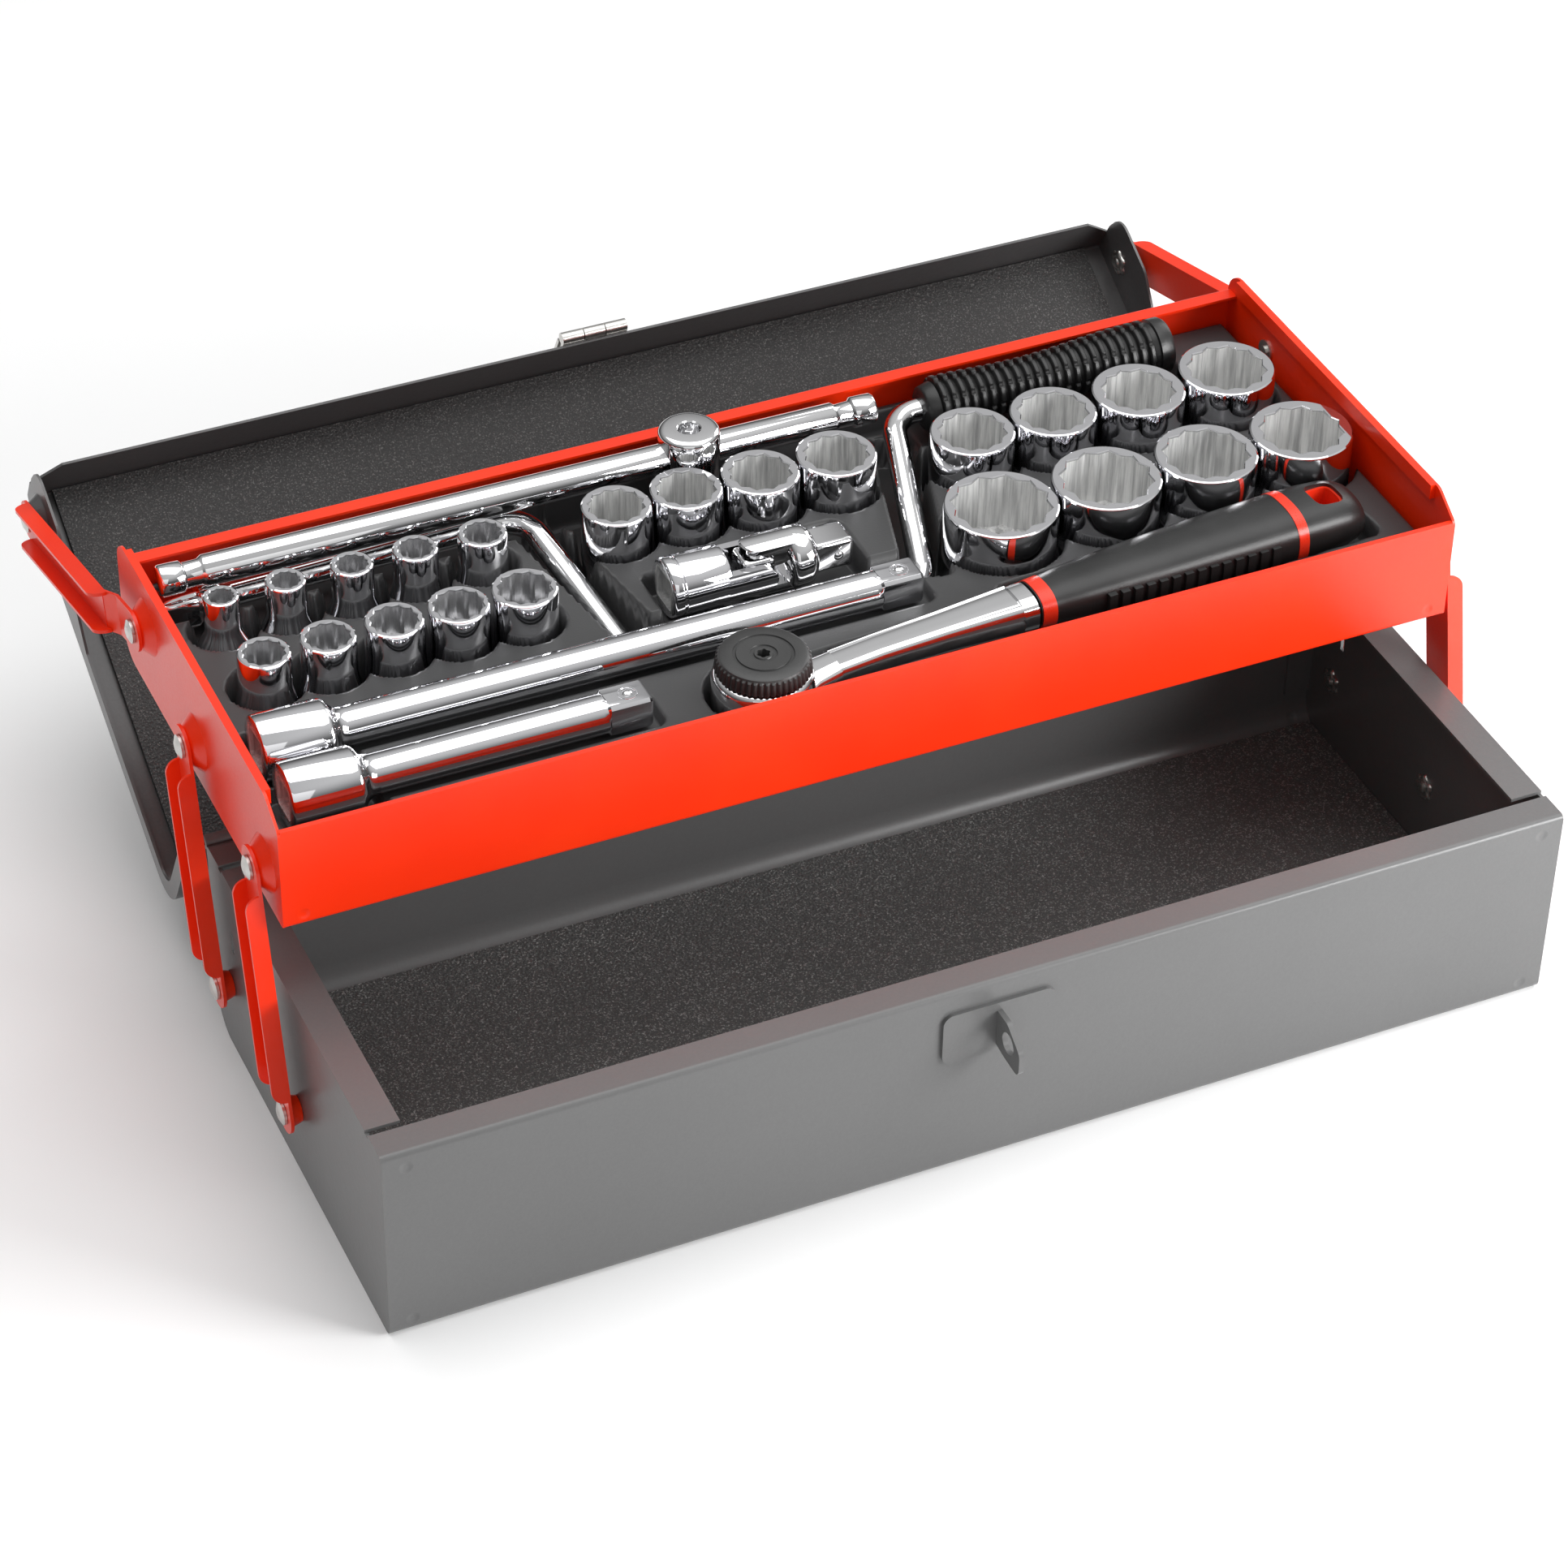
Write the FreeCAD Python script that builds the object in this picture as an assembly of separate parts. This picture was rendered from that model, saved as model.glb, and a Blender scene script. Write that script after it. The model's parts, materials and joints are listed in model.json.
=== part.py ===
import FreeCAD, Part
import math
import os

# Cantilever toolbox: a steel bottom box, a tool tray that rides on four parallel links,
# and a hinged lid that pulls the tray along through two upper links.  Millimetres.
# +X runs along the box to the right, +Y to the rear, +Z up.  The origin is the middle
# of the box's bottom face.  Everything is drawn with the box standing open.

# ---- box ----------------------------------------------------------------------------
BOX_LENGTH = 450.0
BOX_DEPTH = 175.0
BOX_HEIGHT = 82.0
BOX_SHEET = 1.3
BOX_RIM = 12.5              # width of the folded top rim
BOX_FRONT_RADIUS = 3.5
BOX_REAR_RADIUS = 13.0
RIM_RADIUS = 2.0
RIM_CORNER_GAP = 3.0        # dark gap between the end rims and the front and rear rims
TAB_WIDTH = 12.0            # welded tabs of the end panels
MAT_THICKNESS = 2.5
FIT_GAP = 0.3               # general clearance between loose pieces

# ---- tray ---------------------------------------------------------------------------
TRAY_FRONT_HEIGHT = 41.5
TRAY_END_HEIGHT = 49.5
TRAY_SHEET = 1.0
TRAY_REAR_RIM = 7.0
TRAY_REAR_RADIUS = 12.0
TRAY_HEM = 6.0              # folded edge along the top of the end panels
TRAY_OVER_RIM = 0.9         # tray floor above the box rim when closed
TRAY_FRONT_SETBACK = 0.8    # tray front behind the box front when closed
TRAY_REAR_SETBACK = 4.2     # tray rear in front of the box rear when closed

# ---- parallel links -----------------------------------------------------------------
LINK_LENGTH = 97.0          # between pivots
LINK_WEB = 15.5
LINK_SHEET = 1.2
LINK_FLANGE = 5.2
LINK_STANDOFF = 4.4         # web behind the box and tray end faces
LINK_PIVOT_Z = 32.0
LINK_PIVOT_Y = 86.0         # front link, from the box front
LINK_SPACING = 71.0
LINK_OPEN_TILT = 11.9       # degrees past upright when open
TRAY_PIVOT_Y = 16.0         # front link pivot, from the tray front
UPPER_PIVOT_IN = 32.0       # upper link pivot, in front of the tray rear
UPPER_PIVOT_Z = 31.5
RIVET_SHANK = 2.5
RIVET_HEAD = 4.4
RIVET_FIT = 0.05            # radial running clearance of the links on their rivets
LINK_FACE_GAP = 0.15

# ---- lid ----------------------------------------------------------------------------
LID_TOP = 155.0             # closed, above the floor
LID_SHEET = 1.0
LID_OVERHANG = 1.5          # lid front in front of the box front
LID_FRONT_HEIGHT = 22.0
LID_REAR_RADIUS = 17.0
LID_END_OUT = 3.0           # lid ends stand this far outside the box ends
LID_END_FLANGE = 7.0
LID_EAR_LENGTH = 30.0
LID_EAR_HEIGHT = 29.0
LID_EAR_TAPER = 28.0        # degrees
LID_PIVOT_IN = 15.4         # link pivot behind the lid's front edge
LID_PIVOT_DOWN = 12.0       # link pivot under the lid's top
LID_WALL_START = 4.5        # lower edge of the lid's back above the pin
LINER_THICKNESS = 2.6
LINER_END_GAP = 8.0
UPPER_LINK_JOG = 3.0        # outward step of the upper link

# ---- lid hinge ----------------------------------------------------------------------
HINGE_BEHIND = 3.2          # pin behind the box's rear face
HINGE_Z = 81.0
HINGE_PIN = 1.25
HINGE_KNUCKLE = 2.6
HINGE_FIT = 0.05
HINGE_PITCH = 25.0
HINGE_LEAF = 1.0
HINGE_LEAF_HEIGHT = 16.0

# ---- hasp and staple ----------------------------------------------------------------
HASP_WIDTH = 27.0
HASP_SHEET = 1.5
HASP_PIN = 1.0
HASP_KNUCKLE = 2.4
HASP_LENGTH = 84.5
HASP_SLOT = (61.2, 80.8, 4.6)    # near end, far end, width
STAPLE_PLATE = (43.0, 22.0, 1.4)
STAPLE_Z = 62.0
STAPLE_REACH = 19.0
STAPLE_THICKNESS = 2.0
STAPLE_HOLE = 4.2

# ---- tools --------------------------------------------------------------------------
DRIVE = 12.7                # male square
DRIVE_HOLE = 12.9           # female square
PLATE_TOP = 28.0            # top of the moulded insert, above the tray's underside
INSERT_WALL = 1.4
POCKET_GAP = 1.2
FLOOR_GAP = 0.3
SOCKET_TOP = 42.5
# across-flats size: outer radius at the mouth, radius at the drive end, length
SOCKETS = {
    8: (6.5, 10.4, 38.0), 9: (7.4, 10.4, 38.0), 10: (7.8, 10.4, 38.0),
    11: (8.3, 10.4, 38.0), 12: (9.0, 10.4, 38.0),
    13: (9.6, 11.4, 38.0), 14: (10.1, 11.4, 38.0), 15: (10.7, 11.4, 38.0),
    16: (11.2, 11.4, 38.0), 17: (12.0, 11.8, 38.0),
    18: (13.0, 12.4, 38.0), 19: (13.5, 12.8, 38.0), 20: (14.6, 13.4, 38.0),
    21: (15.1, 13.8, 38.0),
    22: (16.0, 14.2, 39.0), 23: (16.5, 14.6, 39.0), 24: (17.8, 15.0, 39.5),
    26: (18.5, 15.4, 39.5),
    27: (19.4, 15.8, 39.5), 28: (19.3, 16.0, 39.5), 30: (20.5, 16.4, 39.5),
    32: (21.3, 16.8, 39.5),
}
# each row lifts out together: (along the tray, behind the tray front)
SOCKET_ROWS = {
    "sockets_8_to_12": {8: (25.6, 131.5), 9: (49.6, 131.5), 10: (74.5, 131.5),
                        11: (98.5, 131.5), 12: (124.0, 131.0)},
    "sockets_13_to_17": {13: (28.6, 94.5), 14: (52.1, 94.5), 15: (76.6, 94.5),
                         16: (100.5, 94.0), 17: (125.5, 94.0)},
    "sockets_18_to_21": {18: (174.5, 127.6), 19: (202.0, 127.6), 20: (231.0, 126.4),
                         21: (261.6, 126.4)},
    "sockets_22_to_26": {22: (314.0, 119.6), 23: (347.4, 119.6), 24: (383.4, 119.8),
                         26: (421.0, 119.8)},
    "sockets_27_to_32": {32: (303.2, 73.6), 30: (346.0, 73.4), 28: (387.0, 73.0),
                         27: (426.8, 72.6)},
}
T_BAR_PLACE = (151.0, 40.0)     # behind the tray front, above its underside
T_BAR_ENDS = (8.5, 288.0)
T_BAR_RADIUS = 5.9
T_HEAD_X = 213.3
T_HEAD_RADIUS = 11.5
T_HEAD_TRAVEL = (-1.8, 8.0)   # as far as the sockets in front let it go
BRACE_ROD = 4.6
BRACE_START = (8.0, 154.0, 24.0)
BRACE_GRIP_END = (411.0, 149.6, 37.6)
BRACE_CRANK = (-81.0, -17.2)    # offset of the crank from the axis
BRACE_BENDS = (148.0, 160.0, 272.0, 296.0)
GRIP_RADIUS = 11.4
GRIP_START = 308.0
LONG_EXTENSION = (12.0, 262.0, 57.6, 31.5)
SHORT_EXTENSION = (12.0, 145.0, 29.3, 31.5)
EXTENSION_BAR = 7.3
EXTENSION_SOCKET = 12.1
EXTENSION_SOCKET_LENGTH = 26.0
JOINT_PLACE = (177.0, 89.6, 30.0)
JOINT_RADIUS = 11.3
RATCHET_PLACE = (186.6, 24.2)
RATCHET_TURN = 3.2              # degrees, handle swings to the rear of the tray
RATCHET_HEAD = 18.4
RATCHET_DISC = 17.4
RATCHET_DISC_TOP = 44.0
RATCHET_DISC_HEIGHT = 10.6
RATCHET_AXIS_Z = 29.5
RATCHET_GRIP = (107.0, 243.0)   # start and end of the grip from the head's centre
BALL = 2.5

# ---- worked out from the sizes above -------------------------------------------------
HALF = BOX_LENGTH / 2
FRONT = -BOX_DEPTH / 2
REAR = BOX_DEPTH / 2
TRAY_DEPTH = BOX_DEPTH - TRAY_FRONT_SETBACK - TRAY_REAR_SETBACK
UPPER_PIVOT_Y = TRAY_DEPTH - UPPER_PIVOT_IN
CLOSED_TILT = -math.degrees(math.asin(
    (LINK_PIVOT_Y - TRAY_PIVOT_Y - TRAY_FRONT_SETBACK) / LINK_LENGTH))


def link_top(tilt):
    """upper pivot of a front link that leans back by tilt degrees: (y, z)"""
    lean = math.radians(tilt)
    return (FRONT + LINK_PIVOT_Y + LINK_LENGTH * math.sin(lean),
            LINK_PIVOT_Z + LINK_LENGTH * math.cos(lean))


TRAY_PIVOT_Z = link_top(CLOSED_TILT)[1] - BOX_HEIGHT - TRAY_OVER_RIM


def tray_corner(tilt):
    """front lower edge of the tray for that link tilt: (y, z)"""
    y, z = link_top(tilt)
    return y - TRAY_PIVOT_Y, z - TRAY_PIVOT_Z


TRAY_Y, TRAY_Z = tray_corner(LINK_OPEN_TILT)
HINGE_Y = REAR + HINGE_BEHIND
LID_FRONT = FRONT - LID_OVERHANG
LID_PIVOT = (LID_FRONT + LID_PIVOT_IN, LID_TOP - LID_PIVOT_DOWN)


def span(a, b):
    return math.hypot(a[0] - b[0], a[1] - b[1])


def upper_pivot(tilt):
    y, z = tray_corner(tilt)
    return y + UPPER_PIVOT_Y, z + UPPER_PIVOT_Z


UPPER_LINK_LENGTH = span(upper_pivot(CLOSED_TILT), LID_PIVOT)


def lid_opening():
    """degrees from closed to open: where the lid's pivot circle meets the upper link's"""
    hinge, tray = (HINGE_Y, HINGE_Z), upper_pivot(LINK_OPEN_TILT)
    reach = span(LID_PIVOT, hinge)
    apart = span(hinge, tray)
    corner = math.acos((reach ** 2 + apart ** 2 - UPPER_LINK_LENGTH ** 2) / (2 * reach * apart))
    towards_tray = math.atan2(tray[1] - hinge[1], tray[0] - hinge[0])
    closed = math.atan2(LID_PIVOT[1] - hinge[1], LID_PIVOT[0] - hinge[0])
    return math.degrees(closed - (towards_tray - corner))


LID_ANGLE = lid_opening()
X_AXIS = FreeCAD.Vector(1, 0, 0)
Y_AXIS = FreeCAD.Vector(0, 1, 0)
Z_AXIS = FreeCAD.Vector(0, 0, 1)


# ---- drawing helpers -----------------------------------------------------------------
def vector(x, y, z):
    return FreeCAD.Vector(x, y, z)


def block(x0, x1, y0, y1, z0, z1):
    return Part.makeBox(x1 - x0, y1 - y0, z1 - z0, vector(x0, y0, z0))


def rod(start, end, radius):
    a, b = vector(*start), vector(*end)
    return Part.makeCylinder(radius, (b - a).Length, a, b - a)


def cone(start, end, radius_start, radius_end):
    a, b = vector(*start), vector(*end)
    return Part.makeCone(radius_start, radius_end, (b - a).Length, a, b - a)


def fuse(shapes):
    body = shapes[0]
    if len(shapes) > 1:
        body = body.fuse(shapes[1:])
    return body.removeSplitter()


def cut(shape, tools):
    return shape.cut(tools) if tools else shape


def on_plane(plane, a, b, level):
    if plane == "yz":
        return vector(level, a, b)
    if plane == "xz":
        return vector(a, level, b)
    return vector(a, b, level)


def outline(corners, plane, level):
    """closed wire through corners (a, b, radius), with its corners rounded"""
    edges = []
    count = len(corners)
    ends = []
    for i, (a, b, radius) in enumerate(corners):
        here = vector(a, b, 0)
        back = vector(corners[i - 1][0], corners[i - 1][1], 0) - here
        ahead = vector(corners[(i + 1) % count][0], corners[(i + 1) % count][1], 0) - here
        back.normalize()
        ahead.normalize()
        half_turn = (math.pi - back.getAngle(ahead)) / 2
        if radius < 0.02 or half_turn < 0.01:
            ends.append((here, None, here))
            continue
        run = radius * math.tan(half_turn)
        inward = back + ahead
        inward.normalize()
        middle = here + inward * (radius / math.cos(half_turn) - radius)
        ends.append((here + back * run, middle, here + ahead * run))
    for i, (enter, middle, leave) in enumerate(ends):
        if middle is not None:
            edges.append(Part.Arc(*[on_plane(plane, p.x, p.y, level)
                                    for p in (enter, middle, leave)]).toShape())
        following = ends[(i + 1) % count][0]
        if (following - leave).Length > 1e-6:
            edges.append(Part.LineSegment(on_plane(plane, leave.x, leave.y, level),
                                          on_plane(plane, following.x, following.y, level)).toShape())
    return Part.Wire(Part.__sortEdges__(edges))


def slab(corners, plane, low, high):
    """the rounded outline pulled from low to high along the plane's normal"""
    face = Part.Face(outline(corners, plane, low))
    normal = {"yz": X_AXIS, "xz": Y_AXIS, "xy": Z_AXIS}[plane]
    return face.extrude(normal * (high - low))


def shifted(path, distance):
    """an open path (a, b, radius) moved sideways, to the left of its direction"""
    moved = []
    for i, (a, b, radius) in enumerate(path):
        sides = []
        for j in (i - 1, i):
            if 0 <= j < len(path) - 1:
                da, db = path[j + 1][0] - path[j][0], path[j + 1][1] - path[j][1]
                run = math.hypot(da, db)
                sides.append((-db / run, da / run))
        first, last = sides[0], sides[-1]
        share = 1 + first[0] * last[0] + first[1] * last[1]
        na, nb = first[0] + last[0], first[1] + last[1]
        left_turn = first[0] * last[1] - first[1] * last[0] > 0
        bend = radius - distance if left_turn else radius + distance
        moved.append((a + na / share * distance, b + nb / share * distance,
                      max(bend, 0.0) if radius else 0.0))
    return moved


def bent_sheet(path, thickness, low, high):
    """a folded sheet: path is its outer face in (y, z), its inside is to the left"""
    return slab(path + shifted(path, thickness)[::-1], "yz", low, high)


def mirrored(shape):
    return shape.mirror(vector(0, 0, 0), X_AXIS)


def turned(shape, centre, axis, degrees):
    copy = shape.copy()
    copy.rotate(vector(*centre), axis, degrees)
    return copy


def moved(shape, x, y, z):
    copy = shape.copy()
    copy.translate(vector(x, y, z))
    return copy


def lid_open(shape):
    """from the closed lid's place to the open one"""
    return turned(shape, (0, HINGE_Y, HINGE_Z), X_AXIS, -LID_ANGLE)


def in_tray(shape):
    """from tray coordinates (left end, front, underside) to the open tray's place"""
    return moved(shape, -HALF, TRAY_Y, TRAY_Z)


def square_bar(start, length, side):
    """a square drive along +X from start, its far end bevelled"""
    x, y, z = start
    half = side / 2
    body = block(x, x + length, y - half, y + half, z - half, z + half)
    tip = cone((x, y, z), (x + length, y, z), half * 1.3 + 0.8 * length, half * 1.3)
    return body.common(tip)


# ---- box -----------------------------------------------------------------------------
def box_path():
    return [(FRONT + BOX_RIM, BOX_HEIGHT, 0), (FRONT, BOX_HEIGHT, RIM_RADIUS),
            (FRONT, 0, BOX_FRONT_RADIUS), (REAR, 0, BOX_REAR_RADIUS),
            (REAR, BOX_HEIGHT, RIM_RADIUS), (REAR - BOX_RIM, BOX_HEIGHT, 0)]


def box_inside(low, high, clearance):
    """the room inside the folded sheet, up to the rim"""
    inner = shifted(box_path(), BOX_SHEET + clearance)
    walls = inner[1:5]
    return slab(walls, "yz", low, high)


def box_end():
    """left end panel: plate, folded rim and two welded tabs"""
    outer = -HALF
    inner = outer + BOX_SHEET
    plate = box_inside(outer, inner, 0)
    rim_front = FRONT + BOX_RIM + RIM_CORNER_GAP
    rim_rear = REAR - BOX_RIM - RIM_CORNER_GAP
    neck = block(outer, inner, rim_front, rim_rear, BOX_HEIGHT - 4 * BOX_SHEET, BOX_HEIGHT)
    rim = block(outer, outer + BOX_RIM, rim_front, rim_rear, BOX_HEIGHT - BOX_SHEET, BOX_HEIGHT)
    pieces = [plate, neck, rim]
    low, high = BOX_FRONT_RADIUS + 6, BOX_HEIGHT - 8
    for face, side in ((FRONT + BOX_SHEET, 1), (REAR - BOX_SHEET, -1)):
        wall = sorted((face, face + side * BOX_SHEET))
        foot = low if side > 0 else BOX_REAR_RADIUS + 4
        pieces.append(block(inner - 0.4, outer + TAB_WIDTH, wall[0], wall[1], foot, high))
    panel = fuse(pieces)
    drills = [rod((outer - 1, y, LINK_PIVOT_Z), (inner + 1, y, LINK_PIVOT_Z), RIVET_SHANK)
              for y in link_pivots()]
    light_slot = block(outer - 1, inner + 1, REAR - 24, REAR - 21.5, 50, 59)
    return cut(panel, drills + [light_slot])


def link_pivots():
    return FRONT + LINK_PIVOT_Y, FRONT + LINK_PIVOT_Y + LINK_SPACING


def box_mat():
    """anti-slip mat on the floor, following the round rear bend"""
    gap = BOX_SHEET + FIT_GAP
    room = box_inside(-HALF + gap, HALF - gap, 0.1)
    layer = block(-HALF, HALF, FRONT + 2 * BOX_SHEET + 0.3, REAR, BOX_SHEET + 0.1,
                  BOX_SHEET + 0.1 + MAT_THICKNESS)
    return room.common(layer)


def staple():
    """embossed plate with a drilled tab for the hasp's slot and a padlock"""
    width, height, depth = STAPLE_PLATE
    corner = 4.0
    half = width / 2
    low, high = STAPLE_Z - height / 2, STAPLE_Z + height / 2
    plate = slab([(-half, low, corner), (half, low, corner), (half, high, corner),
                  (-half, high, corner)], "xz", FRONT - depth, FRONT)
    tip = FRONT - STAPLE_REACH
    tab = slab([(FRONT - depth, high - 3.5, 0), (FRONT - depth, low + 3.5, 0),
                (FRONT - 8, low + 2.5, 2), (tip, low + 2, 3), (tip, high - 10, 4),
                (FRONT - 9, high - 3.5, 4)], "yz", -STAPLE_THICKNESS / 2, STAPLE_THICKNESS / 2)
    centre = (FRONT - 10.2, STAPLE_Z - 0.5)
    hole = rod((-3, *centre), (3, *centre), STAPLE_HOLE)
    return fuse([plate, tab]).cut(hole)


# ---- rivets and links ----------------------------------------------------------------
LINK_INNER = -HALF - LINK_STANDOFF
LINK_OUTER = LINK_INNER - LINK_SHEET


def rivet(y, z, head_face, tail_face):
    """domed head outside head_face, shank, and a rolled tail inside tail_face"""
    head = rod((head_face, y, z), (head_face - 1.0, y, z), RIVET_HEAD)
    dome = cone((head_face - 1.0, y, z), (head_face - 1.9, y, z), RIVET_HEAD, RIVET_HEAD * 0.55)
    shank = rod((head_face - 0.2, y, z), (tail_face + 0.2, y, z), RIVET_SHANK)
    tail = rod((tail_face, y, z), (tail_face + 0.8, y, z), RIVET_HEAD * 1.05)
    button = rod((tail_face + 0.5, y, z), (tail_face + 1.6, y, z), RIVET_SHANK)
    return fuse([head, dome, shank, tail, button])


def both_ends(left):
    return Part.makeCompound([left, mirrored(left)])


def group(solids):
    return Part.makeCompound(solids)


def channel(length, web_inner, flange_from, flange_to):
    """a link lying along +Y from the origin: round-ended web with two outward flanges"""
    half = LINK_WEB / 2
    web_outer = web_inner - LINK_SHEET
    web = slab([(-half, -half, half - 0.01), (length + half, -half, half - 0.01),
                (length + half, half, half - 0.01), (-half, half, half - 0.01)],
               "yz", web_outer, web_inner)
    pieces = [web]
    for side in (-1, 1):
        edge = sorted((side * half, side * (half - LINK_SHEET)))
        strip = slab([(web_inner - 0.3, flange_from, 0), (web_inner - 0.3, flange_to, 0),
                      (web_outer - LINK_FLANGE, flange_to, 5), (web_outer - LINK_FLANGE, flange_from, 5)],
                     "xy", edge[0], edge[1])
        pieces.append(strip)
    return pieces


def link_dish(y, web_inner, reach):
    """the pressed dish that brings a link's end against the face behind it"""
    return cone((web_inner - 0.6, y, 0), (reach, y, 0), 6.2, 4.8)


def main_link():
    """a tray link lying along +Y, lower pivot at the origin, for the left side"""
    pieces = channel(LINK_LENGTH, LINK_INNER, 8.0, LINK_LENGTH - 8.0)
    pieces.append(link_dish(0, LINK_INNER, -HALF - LINK_FACE_GAP))
    body = fuse(pieces)
    holes = [rod((LINK_OUTER - 9, y, 0), (-HALF + 1, y, 0), RIVET_SHANK + RIVET_FIT)
             for y in (0, LINK_LENGTH)]
    return body.cut(holes)


def placed_link(pivot_y):
    stood = turned(main_link(), (0, 0, 0), X_AXIS, 90 - LINK_OPEN_TILT)
    return moved(stood, 0, pivot_y, LINK_PIVOT_Z)


JOG_INNER = LINK_INNER - UPPER_LINK_JOG
JOG_OUTER = JOG_INNER - LINK_SHEET


def upper_link():
    """the lid link lying along +Y: tray pivot at the origin, lid pivot at its far end"""
    half = LINK_WEB / 2
    near, far = 17.0, 25.0
    tray_end = slab([(-half, -half, half - 0.01), (near + 0.5, -half, 0), (near + 0.5, half, 0),
                     (-half, half, half - 0.01)], "yz", LINK_OUTER, LINK_INNER)
    ramp = slab([(LINK_INNER, near, 0), (LINK_OUTER, near, 0), (JOG_OUTER, far, 0),
                 (JOG_INNER, far, 0)], "xy", -half, half)
    arm = channel(UPPER_LINK_LENGTH, JOG_INNER, far - 3, UPPER_LINK_LENGTH - 2)
    arm[0] = arm[0].cut(block(JOG_OUTER - 1, JOG_INNER + 1, -20, far - 0.5, -20, 20))
    holes = [rod((LINK_OUTER - 9, 0, 0), (LINK_INNER + 1, 0, 0), RIVET_SHANK + RIVET_FIT)]
    body = fuse([tray_end, ramp] + arm).cut(holes)
    end = UPPER_LINK_LENGTH
    stud_head = rod((JOG_OUTER, end, 0), (JOG_OUTER - 1.0, end, 0), RIVET_HEAD)
    stud_dome = cone((JOG_OUTER - 1.0, end, 0), (JOG_OUTER - 1.9, end, 0), RIVET_HEAD,
                     RIVET_HEAD * 0.55)
    drill = rod((JOG_OUTER - 1, end, 0), (JOG_INNER + 1, end, 0), RIVET_SHANK)
    shank = rod((JOG_OUTER - 0.5, end, 0), (JOG_INNER, end, 0), RIVET_SHANK)
    return body.cut(drill), fuse([stud_head, stud_dome, shank])


def place_upper(shape):
    tray_y, tray_z = upper_pivot(LINK_OPEN_TILT)
    lid = lid_pivot_open()
    slope = math.degrees(math.atan2(lid[1] - tray_z, lid[0] - tray_y))
    return moved(turned(shape, (0, 0, 0), X_AXIS, slope), 0, tray_y, tray_z)


def lid_pivot_open():
    dy, dz = LID_PIVOT[0] - HINGE_Y, LID_PIVOT[1] - HINGE_Z
    turn = math.radians(-LID_ANGLE)
    return (HINGE_Y + dy * math.cos(turn) - dz * math.sin(turn),
            HINGE_Z + dy * math.sin(turn) + dz * math.cos(turn))


# ---- tray ----------------------------------------------------------------------------
def tray_path():
    return [(0, TRAY_FRONT_HEIGHT, 0), (0, 0, 1.6), (TRAY_DEPTH, 0, TRAY_REAR_RADIUS),
            (TRAY_DEPTH, TRAY_FRONT_HEIGHT, 2), (TRAY_DEPTH - TRAY_REAR_RIM, TRAY_FRONT_HEIGHT, 0)]


def tray_pan():
    low, high = TRAY_SHEET, BOX_LENGTH - TRAY_SHEET
    sheet = bent_sheet(tray_path(), TRAY_SHEET, low, high)
    hem = block(low, high, TRAY_SHEET - 0.2, 2 * TRAY_SHEET, TRAY_FRONT_HEIGHT - 8,
                TRAY_FRONT_HEIGHT)
    return fuse([sheet, hem])


def tray_pivots():
    """pivots on the tray end, in tray coordinates: two for the links, one for the lid link"""
    return ((TRAY_PIVOT_Y, TRAY_PIVOT_Z), (TRAY_PIVOT_Y + LINK_SPACING, TRAY_PIVOT_Z),
            (UPPER_PIVOT_Y, UPPER_PIVOT_Z))


def tray_end():
    """left end panel in tray coordinates, with its pressed pivot bosses"""
    top = TRAY_END_HEIGHT
    profile = [(0, 0, 1.5), (TRAY_DEPTH, 0, TRAY_REAR_RADIUS), (TRAY_DEPTH, top, 9),
               (12, top, 6), (0, TRAY_FRONT_HEIGHT, 3)]
    plate = slab(profile, "yz", 0, TRAY_SHEET)
    hem = block(TRAY_SHEET - 0.2, 3 * TRAY_SHEET, 14, TRAY_DEPTH - 9, top - TRAY_HEM, top)
    pieces = [plate, hem]
    reach = -LINK_STANDOFF + LINK_FACE_GAP
    for y, z in tray_pivots():
        pieces.append(cone((0.2, y, z), (reach, y, z), 11.0, 6.6))
    panel = fuse(pieces)
    drills = [rod((-9, y, z), (3, y, z), RIVET_SHANK) for y, z in tray_pivots()]
    return panel.cut(drills)


def tray_rivets(pivots):
    heads = []
    for y, z in pivots:
        left = rivet(y, z, -LINK_STANDOFF - LINK_SHEET - LINK_FACE_GAP, TRAY_SHEET)
        heads.append(left)
    return heads


# ---- lid -----------------------------------------------------------------------------
def lid_path():
    return [(REAR, HINGE_Z + LID_WALL_START, 0), (REAR, LID_TOP, LID_REAR_RADIUS),
            (LID_FRONT, LID_TOP, 2), (LID_FRONT, LID_TOP - LID_FRONT_HEIGHT, 0)]


def lid_panel():
    edge = HALF + LID_END_OUT
    sheet = bent_sheet(lid_path(), LID_SHEET, -edge, edge)
    low = LID_TOP - LID_FRONT_HEIGHT
    for side in (-1, 1):
        corner = slab([(side * (edge + 1), low - 1, 0), (side * (edge - 13), low - 1, 0),
                       (side * (edge + 1), low + 11, 0)], "xz", LID_FRONT - 1, LID_FRONT + 1.5)
        sheet = sheet.cut(corner)
    return lid_open(sheet)


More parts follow.
